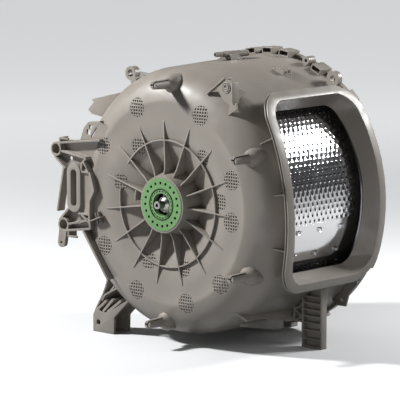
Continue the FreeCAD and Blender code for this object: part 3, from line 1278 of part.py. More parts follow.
def tub_parts():
    """All the pieces, by name."""
    core = drive_core()
    cover = far_cover()
    collar = mouth_collar()
    leg = support_leg(core, collar)
    rail = side_rail(core, leg)
    bracket = motor_bracket(core)
    flange_end = SEAM_Y - FLANGE_T
    parts = {
        "drive_end_shell": drive_end_shell(),
        "radial_ribs": radial_ribs(),
        "barrel_shell": barrel_shell(collar),
        "mouth_collar": collar,
        "mouth_gussets": mouth_gussets(core, collar),
        "far_cover": cover,
        "far_ribs": far_end(radial_ribs()),
        "seam_seal": seam_ring(),
        "seam_clips": seam_clips(),
        "hanger_ear": hanger_ear(core),
        "eye_lug": eye_lug(core),
        "cable_tab": cable_tab(core, bracket),
        "motor_bracket": bracket,
        "tangent_web": tangent_web(core, bracket),
        "shock_bracket": shock_bracket(core),
        "wing_bracket": wing_bracket(core),
        "support_leg": leg,
        "side_rail": rail,
        "keel_plates": Part.makeCompound([keel_plate(x, core, leg, rail) for x in KEEL_XS]),
        "vent_tube": vent_tube(core),
        "barrel_clip": barrel_clip(core),
        "drain_outlet": drain_outlet(core),
        "flange_eye": flange_eye(core, cover, EYE_R, EYE_ANGLE, EYE_OUT_R, EYE_BORE_R, EYE_Y, EYE_Y + EYE_LENGTH),
        "ring_boss": flange_eye(core, cover, RING_BOSS_R, RING_BOSS_ANGLE, RING_BOSS_OUT_R, RING_BOSS_BORE_R,
                                flange_end - SEAM_CLIP_BODY, flange_end),
        "rear_tab": rear_tab(core, collar),
        "rear_foot": rear_foot(),
        "drum_skin": drum_skin(),
        "drive_end_disc": end_disc(),
        "far_end_disc": far_end(end_disc()),
        "drive_shaft": shaft(True),
        "far_shaft": far_end(shaft(False)),
        "shaft_spacer": shaft_spacer(),
        "lifter_hooks": lifter_hooks(),
        "front_hinge_rod": hinge_rod(-1),
        "rear_hinge_rod": hinge_rod(1),
        "hinge_blocks": rod_blocks(),
        "front_flap": front_flap(),
        "rear_flap": flap(1),
        "latch_housing": latch_housing(),
        "latch_button": latch_button(),
    }
    for index, angle in enumerate(POST_ANGLES, start=1):
        parts["weight_post_%d" % index] = weight_post(angle, core)
    for index in range(LIFTER_COUNT):
        parts["lifter_%d" % (index + 1)] = lifter(LIFTER_ANGLE + 360.0 / LIFTER_COUNT * index)
    hub_pieces = {
        "bearing_carrier": bearing_carrier,
        "outer_race": outer_race,
        "inner_race": inner_race,
        "shaft_seal": shaft_seal,
        "shaft_flange": shaft_flange,
    }
    for name, make in hub_pieces.items():
        parts["drive_" + name] = make()
        parts["far_" + name] = far_end(make())
    small_pieces = {
        "bearing_balls": bearing_balls,
        "snap_rings": snap_ring,
        "flange_bolts": flange_bolts,
    }
    for name, make in small_pieces.items():
        parts[name] = Part.makeCompound([make(), far_end(make())])
    return parts


def main():
    """Write every piece and say what each one holds."""
    os.makedirs("parts", exist_ok=True)
    for name, shape in sorted(tub_parts().items()):
        shape.exportStep("parts/" + name + ".step")
        box = shape.BoundBox
        print("%-22s %3d solids %9.1f cm3  valid %s  x %.0f..%.0f y %.0f..%.0f z %.0f..%.0f" % (
            name, len(shape.Solids), shape.Volume / 1000, shape.isValid(),
            box.XMin, box.XMax, box.YMin, box.YMax, box.ZMin, box.ZMax))


main()
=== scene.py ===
# %% [markdown]
# A washing machine tub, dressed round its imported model.
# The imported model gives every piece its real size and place. It is loaded first, and nothing in it is
# moved. What follows adds the finishes, the fine forms that a moulded or pressed part has, and a
# plain studio to see them in. What the start-up scene holds is deleted.

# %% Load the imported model
import json
import math

import bmesh
import bpy
from mathutils import Matrix, Vector


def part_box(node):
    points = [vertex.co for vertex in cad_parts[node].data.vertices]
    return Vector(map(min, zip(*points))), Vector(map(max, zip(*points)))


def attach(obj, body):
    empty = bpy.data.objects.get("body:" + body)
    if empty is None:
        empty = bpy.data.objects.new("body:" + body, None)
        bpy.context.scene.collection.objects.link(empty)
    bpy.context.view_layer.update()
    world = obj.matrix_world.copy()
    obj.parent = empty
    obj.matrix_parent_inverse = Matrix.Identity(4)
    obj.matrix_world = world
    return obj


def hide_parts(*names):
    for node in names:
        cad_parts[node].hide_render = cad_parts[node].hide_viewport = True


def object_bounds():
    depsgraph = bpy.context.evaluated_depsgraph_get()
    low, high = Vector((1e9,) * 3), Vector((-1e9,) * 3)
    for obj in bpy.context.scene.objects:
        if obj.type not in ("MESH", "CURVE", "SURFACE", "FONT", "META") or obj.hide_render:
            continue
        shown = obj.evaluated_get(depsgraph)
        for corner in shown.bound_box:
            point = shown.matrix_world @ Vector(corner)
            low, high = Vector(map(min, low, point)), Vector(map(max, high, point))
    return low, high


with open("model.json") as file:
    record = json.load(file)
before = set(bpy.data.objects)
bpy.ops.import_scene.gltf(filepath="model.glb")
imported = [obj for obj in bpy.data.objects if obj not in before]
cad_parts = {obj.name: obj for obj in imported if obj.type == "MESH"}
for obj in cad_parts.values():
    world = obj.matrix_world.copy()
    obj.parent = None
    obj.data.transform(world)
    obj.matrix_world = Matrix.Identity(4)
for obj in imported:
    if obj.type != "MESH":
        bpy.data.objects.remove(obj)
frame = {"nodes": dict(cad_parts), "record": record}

nodes = frame["nodes"]
for leftover in [o for o in bpy.data.objects if o.type in {"MESH", "LIGHT", "CAMERA"}]:
    if leftover.name not in nodes:
        bpy.data.objects.remove(leftover)
cad_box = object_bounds()
print("pieces in the packed model:", len(nodes))

# %% [markdown]
# All lengths here are in metres, so a named millimetre keeps the values readable. Only outlines and
# sections are lists of plain millimetres, which are turned into metres where they are used. Angles go
# round the drum's axis, which is Y, from +X (the mouth) towards +Z (up), as they do in the model. The
# drum's size could be written down again, but it is read from the model, so the two always agree.

# %% Sizes read from the model
MM = 0.001

drum_low, drum_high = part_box("drum_skin")
DRUM_R = drum_high.x
DRUM_START = drum_low.y
DRUM_END = drum_high.y
DRUM_MIDDLE = Vector((0, (DRUM_START + DRUM_END) / 2, 0))
FLOOR_Z = cad_box[0].z


def polar(radius, degrees, y=0.0):
    """A point at a radius and an angle about the drum's axis."""
    angle = math.radians(degrees)
    return Vector((radius * math.cos(angle), y, radius * math.sin(angle)))


def in_metres(points):
    """Points given as pairs of millimetres, as pairs of metres."""
    return [(across * MM, along * MM) for across, along in points]


print("drum radius %.3f, from %.3f to %.3f" % (DRUM_R, DRUM_START, DRUM_END))

# %% [markdown]
# The camera stands where the photograph was taken from, a little above the axis and off to one side. A
# short lens close by could frame the tub as well, but it would draw the mouth too large against the
# hub, so the lens is long and stands far away. It aims slightly beside the hub, so no lens shift is
# needed.

# %% Camera
CAMERA_AZIMUTH = math.radians(41.56)
CAMERA_ELEVATION = math.radians(8.31)
CAMERA_DISTANCE = 5.082
CAMERA_LENS = 249.3
CAMERA_REACH = 100
AIM_RIGHT = 0.0710
AIM_UP = 0.0087

back = Vector((math.sin(CAMERA_AZIMUTH) * math.cos(CAMERA_ELEVATION),
               -math.cos(CAMERA_AZIMUTH) * math.cos(CAMERA_ELEVATION),
               math.sin(CAMERA_ELEVATION)))
right = Vector((math.cos(CAMERA_AZIMUTH), math.sin(CAMERA_AZIMUTH), 0))
up = right.cross(-back)


def add_camera():
    """The scene's camera."""
    aim = right * AIM_RIGHT + up * AIM_UP
    bpy.ops.object.camera_add(location=aim + back * CAMERA_DISTANCE)
    camera = bpy.context.object
    camera.rotation_euler = (-back).to_track_quat("-Z", "Y").to_euler()
    camera.data.lens = CAMERA_LENS
    camera.data.clip_end = CAMERA_REACH
    bpy.context.scene.camera = camera
    return camera


print("camera at", add_camera().location)

# %% [markdown]
# Finishes come next. Three effects turn up in several of them: the fine grain of a moulded or rolled surface,
# a slow drift of tone, and what is painted on edges and in corners: a paler colour on edges, a painted
# highlight with some wear, and a darker one in corners, painted shade with some dust. Each material could
# hold its own copy of them. A node group with named inputs is built once instead, and each material gives it
# its own values. These helpers add nodes and link them. A Mix node has several inputs of each name, so its
# colours are found by their number.

# %% Helpers for node groups
FIRST_COLOUR, SECOND_COLOUR, MIXED_COLOUR = 6, 7, 2


def new_group(name, inputs, outputs):
    """A shader node group with named sockets. Returns the tree and its two ends."""
    tree = bpy.data.node_groups.new(name, "ShaderNodeTree")
    for label, kind, value in inputs:
        socket = tree.interface.new_socket(label, in_out="INPUT", socket_type="NodeSocket" + kind)
        if value is not None:
            socket.default_value = value
    for label, kind in outputs:
        tree.interface.new_socket(label, in_out="OUTPUT", socket_type="NodeSocket" + kind)
    return tree, tree.nodes.new("NodeGroupInput"), tree.nodes.new("NodeGroupOutput")


def fill_input(tree, socket, value):
    """Link an input to another node's output, or set its value."""
    if isinstance(value, bpy.types.NodeSocket):
        tree.links.new(value, socket)
    else:
        socket.default_value = value


def add_node(tree, kind, settings=None, **inputs):
    """A node with its settings and its named inputs."""
    node = tree.nodes.new("ShaderNode" + kind)
    for key, value in (settings or {}).items():
        setattr(node, key, value)
    for label, value in inputs.items():
        fill_input(tree, node.inputs[label.replace("_", " ")], value)
    return node


def combine(tree, kind, operation, *values):
    """A Math or VectorMath node on one or two values."""
    node = add_node(tree, kind, {"operation": operation})
    for socket, value in zip(node.inputs, values):
        fill_input(tree, socket, value)
    return node


def maths(tree, operation, first, second):
    """Two numbers made one."""
    return combine(tree, "Math", operation, first, second).outputs["Value"]


def mix_colours(tree, share, first, second):
    """A first colour that turns into a second one as the share goes from 0 to 1."""
    node = add_node(tree, "Mix", {"data_type": "RGBA"}, Factor=share)
    fill_input(tree, node.inputs[FIRST_COLOUR], first)
    fill_input(tree, node.inputs[SECOND_COLOUR], second)
    return node.outputs[MIXED_COLOUR]


def ramp(tree, value, low, high):
    """A smooth step from 0 at low to 1 at high."""
    settings = {"interpolation_type": "SMOOTHSTEP"}
    step = add_node(tree, "MapRange", settings, Value=value, From_Min=low, From_Max=high)
    return step.outputs["Result"]


print("node helpers ready")

# %% [markdown]
# Grain and drift are both noise, of very different sizes. The grain of moulded plastic or rolled steel
# is far too fine to model, so it is a height that only tilts the shading, and a wider noise gives
# roughness a mask to follow. Drift mixes two near tones, because no large moulding has one even colour.

# %% Grain and drift
GRAIN_INPUTS = [("Vector", "Vector", None), ("Scale", "Float", 900.0), ("Stretch", "Vector", (1, 1, 1)),
                ("Depth", "Float", 0.3)]
GRAIN_DETAIL = 3.0
MASK_SCALE, MASK_DETAIL = 38.0, 4.0
MASK_RANGE = (0.35, 0.68)
DRIFT_INPUTS = [("Vector", "Vector", None), ("Colour", "Color", (0.5, 0.5, 0.5, 1)),
                ("Second Colour", "Color", (0.4, 0.4, 0.4, 1)), ("Scale", "Float", 6.0)]
DRIFT_DETAIL, DRIFT_DISTORTION = 5.0, 0.6
DRIFT_RANGE = (0.38, 0.64)


def grain_group():
    """Fine grain: a height for a Bump node, and a mask that roughness can follow."""
    tree, start, end = new_group("surface_grain", GRAIN_INPUTS, [("Height", "Float"), ("Mask", "Float")])
    place, scale, stretch, depth = (start.outputs[label] for label in ("Vector", "Scale", "Stretch", "Depth"))
    stretched = combine(tree, "VectorMath", "MULTIPLY", place, stretch).outputs["Vector"]
    fine = add_node(tree, "TexNoise", Vector=stretched, Scale=scale, Detail=GRAIN_DETAIL)
    wide = add_node(tree, "TexNoise", Vector=place, Scale=MASK_SCALE, Detail=MASK_DETAIL)
    tree.links.new(maths(tree, "MULTIPLY", fine.outputs["Fac"], depth), end.inputs["Height"])
    tree.links.new(ramp(tree, wide.outputs["Fac"], *MASK_RANGE), end.inputs["Mask"])
    return tree


def drift_group():
    """Two near tones that change places slowly over the surface."""
    tree, start, end = new_group("tone_drift", DRIFT_INPUTS, [("Colour", "Color")])
    noise = add_node(tree, "TexNoise", Vector=start.outputs["Vector"], Scale=start.outputs["Scale"],
                     Detail=DRIFT_DETAIL, Distortion=DRIFT_DISTORTION)
    share = ramp(tree, noise.outputs["Fac"], *DRIFT_RANGE)
    mixed = mix_colours(tree, share, start.outputs["Colour"], start.outputs["Second Colour"])
    tree.links.new(mixed, end.inputs["Colour"])
    return tree


groups = {"grain": grain_group(), "drift": drift_group()}
print("groups:", sorted(groups))

# %% [markdown]
# Edges of moulded plastic catch the light because they are a little round, and they polish or scuff first, so
# a paler colour is painted on them: a painted highlight, with some wear. The Bevel node gives a normal that
# is averaged round an edge. Where it differs from the true normal there is an edge, so the same node softens
# the shading and makes the mask for the painted highlight and wear. Crevices are painted darker where ambient
# occlusion finds them closed in: painted shade, with some dust. Both masks are worked out from the shape
# itself, so neither has to be drawn by hand.

# %% Edges and crevices
# The edge colour is a painted highlight with some wear; the third colour is painted shade with some dust, for
# crevices.
EDGE_INPUTS = [("Colour", "Color", (0.5, 0.5, 0.5, 1)), ("Edge Colour", "Color", (0.8, 0.8, 0.8, 1)),
               ("Dust Colour", "Color", (0.2, 0.2, 0.2, 1)), ("Edge Radius", "Float", 0.8 * MM),
               ("Edge Amount", "Float", 0.5), ("Dust Amount", "Float", 0.5), ("Vector", "Vector", None)]
EDGE_SAMPLES = 6
EDGE_MEASURE_RANGE = (0.02, 0.16)
BREAK_SCALE, BREAK_DETAIL = 120.0, 4.0
BREAK_RANGE = (0.30, 0.60)
CREVICE_REACH = 12 * MM
OPEN_RANGE = (0.1, 0.8)


def edge_highlight_and_wear(tree, start, softened):
    """How much painted highlight and wear the surface gets: most on edges, in broken patches."""
    geometry = add_node(tree, "NewGeometry")
    likeness = combine(tree, "VectorMath", "DOT_PRODUCT", softened, geometry.outputs["True Normal"])
    edge_measure = maths(tree, "SUBTRACT", 1.0, likeness.outputs["Value"])
    breaks = add_node(tree, "TexNoise", Vector=start.outputs["Vector"], Scale=BREAK_SCALE,
                      Detail=BREAK_DETAIL)
    patches = ramp(tree, breaks.outputs["Fac"], *BREAK_RANGE)
    patchy = maths(tree, "MULTIPLY", ramp(tree, edge_measure, *EDGE_MEASURE_RANGE), patches)
    return maths(tree, "MULTIPLY", patchy, start.outputs["Edge Amount"])


def crevice_shade_and_dust(tree, start):
    """How much painted shade and dust the surface gets: most where it is closed in."""
    shade = add_node(tree, "AmbientOcclusion", {"samples": EDGE_SAMPLES}, Distance=CREVICE_REACH)
    closed = maths(tree, "SUBTRACT", 1.0, ramp(tree, shade.outputs["AO"], *OPEN_RANGE))
    return maths(tree, "MULTIPLY", closed, start.outputs["Dust Amount"])


def edge_group():
    """Colour with a painted highlight and wear on edges and painted shade and dust in crevices, and the
    softened normal.
    """
    tree, start, end = new_group("edges_and_crevices", EDGE_INPUTS,
                                 [("Colour", "Color"), ("Normal", "Vector")])
    bevel = add_node(tree, "Bevel", {"samples": EDGE_SAMPLES}, Radius=start.outputs["Edge Radius"])
    softened = bevel.outputs["Normal"]
    highlight_and_wear = edge_highlight_and_wear(tree, start, softened)
    # Edges get a paler colour: a painted highlight, with some wear.
    pale = mix_colours(tree, highlight_and_wear, start.outputs["Colour"], start.outputs["Edge Colour"])
    # Closed-in crevices get a darker colour: painted shade, with some dust.
    shaded_and_dusty = mix_colours(tree, crevice_shade_and_dust(tree, start), pale, start.outputs["Dust Colour"])
    tree.links.new(shaded_and_dusty, end.inputs["Colour"])
    tree.links.new(softened, end.inputs["Normal"])
    return tree


groups["edges"] = edge_group()
print("groups:", sorted(groups))

# %% [markdown]
# Every finish is a short list of values: two tones, the colour painted on its edges, a painted highlight with
# some wear, and the colour painted into its corners, painted shade with some dust, how rough it is, how deep
# its grain is and which way the grain runs. A table is easier to compare and to change than ten materials
# made apart. Its rows are the slots that the imported model names: the grey plastic of the tub, the green of
# the bearing carriers, rolled and turned steel, cast flanges, rubber, and the paler plastics inside the drum.

# %% The finish table


def tone(red, green, blue):
    """A colour with full opacity."""
    return (red, green, blue, 1)


# Each row's edge colour is painted onto edges as a highlight, with some wear, and its dark corner colour is
# painted into crevices as shade, with some dust; for the green carriers that colour is nearly black.
FINISHES = {
    "tub_plastic": dict(
        colour=tone(0.300, 0.272, 0.238), second=tone(0.268, 0.243, 0.214), edge=tone(0.52, 0.49, 0.44),
        shade_and_dust=tone(0.10, 0.09, 0.08), edge_amount=0.55, shade_and_dust_amount=0.55, rough=(0.36, 0.50),
        grain=1400, depth=0.22, bump=0.10, radius=0.9 * MM),
    "carrier_plastic": dict(
        colour=tone(0.165, 0.335, 0.130), second=tone(0.140, 0.300, 0.112), edge=tone(0.36, 0.52, 0.30),
        shade_and_dust=tone(0.012, 0.030, 0.012), edge_amount=0.6, shade_and_dust_amount=1.0, rough=(0.38, 0.52),
        grain=1600, depth=0.2, bump=0.08, radius=0.5 * MM),
    "drum_steel": dict(
        colour=tone(0.64, 0.64, 0.65), second=tone(0.58, 0.58, 0.60), edge=tone(0.85, 0.85, 0.86),
        shade_and_dust=tone(0.20, 0.19, 0.18), edge_amount=0.2, shade_and_dust_amount=0.15, rough=(0.10, 0.16),
        grain=700, depth=0.15, bump=0.02, radius=0.3 * MM, metal=1, stretch=(1, 0.08, 1)),
    "shaft_steel": dict(
        colour=tone(0.36, 0.35, 0.34), second=tone(0.27, 0.26, 0.26), edge=tone(0.70, 0.70, 0.70),
        shade_and_dust=tone(0.06, 0.05, 0.05), edge_amount=0.6, shade_and_dust_amount=0.7, rough=(0.30, 0.44),
        grain=2600, depth=0.3, bump=0.10, radius=0.4 * MM, metal=1, stretch=(0.1, 1, 0.1)),
    "bearing_steel": dict(
        colour=tone(0.60, 0.60, 0.61), second=tone(0.52, 0.52, 0.54), edge=tone(0.8, 0.8, 0.8),
        shade_and_dust=tone(0.10, 0.09, 0.08), edge_amount=0.4, shade_and_dust_amount=0.5, rough=(0.16, 0.24),
        grain=2400, depth=0.2, bump=0.04, radius=0.3 * MM, metal=1),
    "bolt_steel": dict(
        colour=tone(0.55, 0.55, 0.52), second=tone(0.47, 0.46, 0.42), edge=tone(0.8, 0.8, 0.78),
        shade_and_dust=tone(0.12, 0.10, 0.08), edge_amount=0.5, shade_and_dust_amount=0.5, rough=(0.28, 0.42),
        grain=1800, depth=0.3, bump=0.10, radius=0.4 * MM, metal=1),
    "flange_casting": dict(
        colour=tone(0.52, 0.53, 0.54), second=tone(0.44, 0.45, 0.46), edge=tone(0.7, 0.7, 0.7),
        shade_and_dust=tone(0.12, 0.11, 0.10), edge_amount=0.4, shade_and_dust_amount=0.5, rough=(0.42, 0.60),
        grain=900, depth=0.8, bump=0.30, radius=0.8 * MM, metal=1),
    "seal_rubber": dict(
        colour=tone(0.030, 0.030, 0.032), second=tone(0.042, 0.041, 0.040), edge=tone(0.10, 0.10, 0.10),
        shade_and_dust=tone(0.08, 0.075, 0.07), edge_amount=0.4, shade_and_dust_amount=0.4, rough=(0.55, 0.72),
        grain=1500, depth=0.4, bump=0.15, radius=0.4 * MM),
    "lifter_plastic": dict(
        colour=tone(0.66, 0.67, 0.68), second=tone(0.60, 0.61, 0.62), edge=tone(0.82, 0.82, 0.82),
        shade_and_dust=tone(0.35, 0.34, 0.32), edge_amount=0.4, shade_and_dust_amount=0.4, rough=(0.24, 0.34),
        grain=1400, depth=0.2, bump=0.06, radius=0.9 * MM),
    "latch_plastic": dict(
        colour=tone(0.53, 0.54, 0.55), second=tone(0.47, 0.48, 0.49), edge=tone(0.75, 0.75, 0.75),
        shade_and_dust=tone(0.22, 0.21, 0.20), edge_amount=0.5, shade_and_dust_amount=0.5, rough=(0.34, 0.46),
        grain=1400, depth=0.2, bump=0.08, radius=0.6 * MM),
}
print("rows in the finish table:", len(FINISHES))

# %% [markdown]
# One function makes a material from any row. Colour goes through drift and then through edges and crevices,
# which paint a highlight with some wear on edges and shade with some dust in crevices, roughness follows the
# grain's mask, and the bump sits on the softened normal. Metal is one number all over, so it is set straight
# on the shader. Every imported piece then gets the finish that its slot names.

# %% Materials
BUMP_HEIGHT = 0.4 * MM


def add_group(tree, name, **inputs):
    """A group node with its inputs set or linked."""
    return add_node(tree, "Group", {"node_tree": groups[name]}, **inputs)


def make_finish(name, look):
    """A material from one row of the finish table."""
    material = bpy.data.materials.new(name)
    material.use_nodes = True
    tree = material.node_tree
    shader = tree.nodes["Principled BSDF"]
    place = add_node(tree, "TexCoord").outputs["Object"]
    drift = add_group(tree, "drift", Vector=place, Colour=look["colour"], Second_Colour=look["second"])
    # This group paints a paler edge colour as a highlight, with some wear, and a darker crevice colour as
    # shade, with some dust.
    edges = add_group(tree, "edges", Vector=place, Colour=drift.outputs["Colour"], Edge_Colour=look["edge"],
                      Dust_Colour=look["shade_and_dust"], Edge_Radius=look["radius"], Edge_Amount=look["edge_amount"],
                      Dust_Amount=look["shade_and_dust_amount"])
    grain = add_group(tree, "grain", Vector=place, Scale=look["grain"], Depth=look["depth"],
                      Stretch=look.get("stretch", (1, 1, 1)))
    smoothest, roughest = look["rough"]
    rough = add_node(tree, "MapRange", Value=grain.outputs["Mask"], To_Min=smoothest, To_Max=roughest)
    bump = add_node(tree, "Bump", Strength=look["bump"], Distance=BUMP_HEIGHT, Height=grain.outputs["Height"],
                    Normal=edges.outputs["Normal"])
    tree.links.new(edges.outputs["Colour"], shader.inputs["Base Color"])
    tree.links.new(rough.outputs["Result"], shader.inputs["Roughness"])
    tree.links.new(bump.outputs["Normal"], shader.inputs["Normal"])
    shader.inputs["Metallic"].default_value = look.get("metal", 0)
    return material


finishes = {name: make_finish(name, look) for name, look in FINISHES.items()}
slots = {part["node"]: part["material_slot"] for part in frame["record"]["subparts"]}
for name, node in nodes.items():
    for material_slot in node.material_slots:
        material_slot.material = finishes[slots[name]]
print("finishes:", len(finishes), "dressed pieces:", len(nodes))

# %% [markdown]
# A few helpers keep the modelling cells short. An operator works on all that is selected, so each
# piece starts with nothing selected, and `pick` selects by place in edit mode, as a hand would with
# the mouse. Every finished piece goes through `finish_piece`, which puts its place into its mesh.

# %% Modelling helpers
MERGE_WITHIN = 0.01 * MM


def start_fresh():
    """Select nothing."""
    bpy.ops.object.select_all(action="DESELECT")


def select_only(*objects):
    """Select some objects and nothing else; the first becomes active."""
    start_fresh()
    for obj in objects:
        obj.select_set(True)
    bpy.context.view_layer.objects.active = objects[0]


def edit(on=True):
    """Enter or leave edit mode."""
    bpy.ops.object.mode_set(mode="EDIT" if on else "OBJECT")


def pick(kind, test):
    """In edit mode, select only the vertices or the faces whose centre passes a test."""
    bpy.ops.mesh.select_mode(type=kind)
    bpy.ops.mesh.select_all(action="DESELECT")
    mesh = bmesh.from_edit_mesh(bpy.context.object.data)
    for item in mesh.verts if kind == "VERT" else mesh.faces:
        if test(item.co if kind == "VERT" else item.calc_center_median()):
            item.select_set(True)
    bmesh.update_edit_mesh(bpy.context.object.data)


def add_modifier(obj, kind, **settings):
    """Add a modifier and apply it."""
    modifier = obj.modifiers.new(kind.lower(), kind)
    for key, value in settings.items():
        setattr(modifier, key, value)
    bpy.context.view_layer.objects.active = obj
    bpy.ops.object.modifier_apply(modifier=modifier.name)


def cut_with(obj, cutter, operation="DIFFERENCE"):
    """Cut an object with another one, which is then deleted."""
    add_modifier(obj, "BOOLEAN", object=cutter, operation=operation, solver="EXACT")
    bpy.data.objects.remove(cutter)


def move_mesh(obj, shift):
    """Move a mesh inside its object."""
    obj.data.transform(Matrix.Translation(shift))


def copy_of(obj, shift=(0, 0, 0)):
    """A copy with its own mesh, moved."""
    twin = obj.copy()
    twin.data = obj.data.copy()
    bpy.context.scene.collection.objects.link(twin)
    move_mesh(twin, shift)
    return twin


def join_all(objects, name):
    """Several objects made one mesh."""
    select_only(*objects)
    bpy.ops.object.join()
    result = bpy.context.object
    result.name = result.data.name = name
    return result


def settle(obj):
    """Put an object's place into its mesh."""
    select_only(obj)
    bpy.ops.object.transform_apply(location=True, rotation=True, scale=True)


def face_outwards(obj):
    """Recalculate an object's normals so that its faces look outwards."""
    select_only(obj)
    edit()
    bpy.ops.mesh.select_all(action="SELECT")
    bpy.ops.mesh.normals_make_consistent(inside=False)
    edit(False)


def finish_piece(obj, body, slot, smooth=45, replaces=()):
    """Settle a piece, shade it, give it its finish and make it ride on its body."""
    settle(obj)
    bpy.ops.object.shade_smooth_by_angle(angle=math.radians(smooth))
    if not obj.data.materials:
        obj.data.materials.append(finishes[slot])
    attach(obj, body)
    if replaces:
        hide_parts(*replaces)
    return obj


print("modelling helpers ready")

# %% [markdown]
# The drum's skin is stainless sheet with hundreds of drain holes. Each hole is pushed outwards, so it
# stands on a small round bump with a dark mouth. Cutting every hole from a finished cylinder would be
# slow and leave long thin faces. So one bump is modelled in its own flat cell: a square border is
# bridged to a circle, which is extruded up and in three times. A bump is repeated hundreds of times,
# so twelve sides have to do.

# %% One punched hole in its cell
HOLE_PITCH = 12.9 * MM
ROW_STEP = 2.5
ROW_PITCH = DRUM_R * math.radians(ROW_STEP)
BUMP_SIDES = 12
BUMP_RINGS = ((3.9 * MM, 0.0), (3.4 * MM, 0.8 * MM), (3.0 * MM, 1.05 * MM), (2.6 * MM, 0.5 * MM))
BUMP_FOOT = BUMP_RINGS[0][0]
INNER_SHARE = 0.4
JUST_OVER = 1.01


def punched_cell():
    """One raised hole in a flat cell, which joins its neighbours edge to edge."""
    start_fresh()
    bpy.ops.mesh.primitive_grid_add(x_subdivisions=2, y_subdivisions=4, size=1)
    cell = bpy.context.object
    edit()
    bpy.ops.transform.resize(value=(ROW_PITCH, HOLE_PITCH, 1))
    pick("VERT", lambda p: abs(p.x) < ROW_PITCH * INNER_SHARE and abs(p.y) < HOLE_PITCH * INNER_SHARE)
    bpy.ops.mesh.delete(type="VERT")
    bpy.ops.mesh.primitive_circle_add(vertices=BUMP_SIDES, radius=BUMP_FOOT)
    bpy.ops.mesh.select_all(action="SELECT")
    bpy.ops.mesh.bridge_edge_loops()
    pick("VERT", lambda p: p.length < BUMP_FOOT * JUST_OVER)
    for (radius, height), (following, rise) in zip(BUMP_RINGS, BUMP_RINGS[1:]):
        bpy.ops.mesh.extrude_edges_move(TRANSFORM_OT_translate={"value": (0, 0, rise - height)})
        bpy.ops.transform.resize(value=(following / radius, following / radius, 1))
    edit(False)
    return cell


def half_cell(y):
    """The plain half cell at either end of a shifted row."""
    start_fresh()
    bpy.ops.mesh.primitive_grid_add(x_subdivisions=2, y_subdivisions=2, size=1, location=(ROW_PITCH, y, 0))
    plain = bpy.context.object
    plain.scale = (ROW_PITCH, HOLE_PITCH / 2, 1)
    settle(plain)
    return plain


print("hole pitch %.4f, row pitch %.4f" % (HOLE_PITCH, ROW_PITCH))

# %% [markdown]
# The skin has two punched panels, above and below, with every other row of holes shifted by half a
# pitch. Two Array modifiers lay out a pair of rows and repeat it into a flat sheet, which is rolled to
# the drum's radius and then thickened inwards. Rolling a flat sheet keeps all the holes alike, as in
# the real drum, which is punched flat and rolled.

# %% Punched panels
SHEET_T = 1.0 * MM
CELL_MERGE = 0.1 * MM
PANEL_Y = 80 * MM
PANEL_COLUMNS = 16
PANEL_ROW_PAIRS = 20
PANEL_STARTS = {"drum_panel_upper": -7.5, "drum_panel_lower": 232.5}


def repeat(obj, count, step):
    """Repeat a mesh along a step and merge it where the copies meet."""
    add_modifier(obj, "ARRAY", count=count, use_relative_offset=False, use_constant_offset=True,
                 constant_offset_displace=step, use_merge_vertices=True, merge_threshold=CELL_MERGE)


def roll_up(sheet):
    """Roll a flat sheet round the drum's axis: its X becomes the arc, and its Z the height above."""
    for vertex in sheet.data.vertices:
        arc, y, height = vertex.co
        vertex.co = polar(DRUM_R + height, math.degrees(arc / DRUM_R), y)


def punched_sheet(name, first_angle):
    """Pairs of rows of punched holes, one of each pair shifted, rolled to the drum's radius."""
    cell = punched_cell()
    shifted = copy_of(cell, (ROW_PITCH, HOLE_PITCH, 0))
    move_mesh(cell, (0, HOLE_PITCH / 2, 0))
    repeat(cell, PANEL_COLUMNS, (0, HOLE_PITCH, 0))
    repeat(shifted, PANEL_COLUMNS - 1, (0, HOLE_PITCH, 0))
    row_ends = [half_cell(HOLE_PITCH / 4), half_cell(HOLE_PITCH * (PANEL_COLUMNS - 1 / 4))]
    sheet = join_all([cell, shifted] + row_ends, name)
    add_modifier(sheet, "WELD", merge_threshold=CELL_MERGE)
    repeat(sheet, PANEL_ROW_PAIRS, (2 * ROW_PITCH, 0, 0))
    move_mesh(sheet, (DRUM_R * math.radians(first_angle) + ROW_PITCH / 2, PANEL_Y, 0))
    roll_up(sheet)
    return sheet


def give_thickness(sheet):
    """Face the sheet away from the axis and thicken it towards the axis."""
    face_outwards(sheet)
    face = sheet.data.polygons[0]
    if face.normal.dot(Vector((face.center.x, 0, face.center.z))) < 0:
        sheet.data.flip_normals()
    add_modifier(sheet, "SOLIDIFY", thickness=SHEET_T, offset=-1, use_even_offset=True)


for panel_name, panel_start in PANEL_STARTS.items():
    panel = punched_sheet(panel_name, panel_start)
    give_thickness(panel)
    finish_piece(panel, "drum", "drum_steel", smooth=30)
    print(panel_name, "faces:", len(panel.data.polygons))

# %% [markdown]
# The rest of the skin is plain: a band at each end and three strips under the paddles, with the door
# hole between two of them. Separate strips would have to be fitted to each other. Instead, a plain
# cylinder with as many sides as there are row steps is cut by planes, and the faces over the panels
# and the door are deleted, so what stays meets the panels exactly.

# %% The plain part of the skin
DOOR_START = 127.0
DOOR_END = 199.0
DOOR_Y = (84 * MM, 282 * MM)
PANEL_SWEEP = 2 * PANEL_ROW_PAIRS * ROW_STEP
PANEL_END_Y = PANEL_Y + PANEL_COLUMNS * HOLE_PITCH


def cut_along(normal, through):
    """Cut the edited mesh along a plane and keep both sides."""
    bpy.ops.mesh.select_all(action="SELECT")
    bpy.ops.mesh.bisect(plane_co=through, plane_no=normal)


def within(point, start, end):
    """Whether a point's angle about the drum's axis lies on the arc from start to end."""
    angle = math.degrees(math.atan2(point.z, point.x))
    return 0 <= (angle - start) % 360 <= end - start


def delete_faces(test):
    """In edit mode, delete the faces whose centre passes a test."""
    pick("FACE", test)
    bpy.ops.mesh.delete(type="FACE")


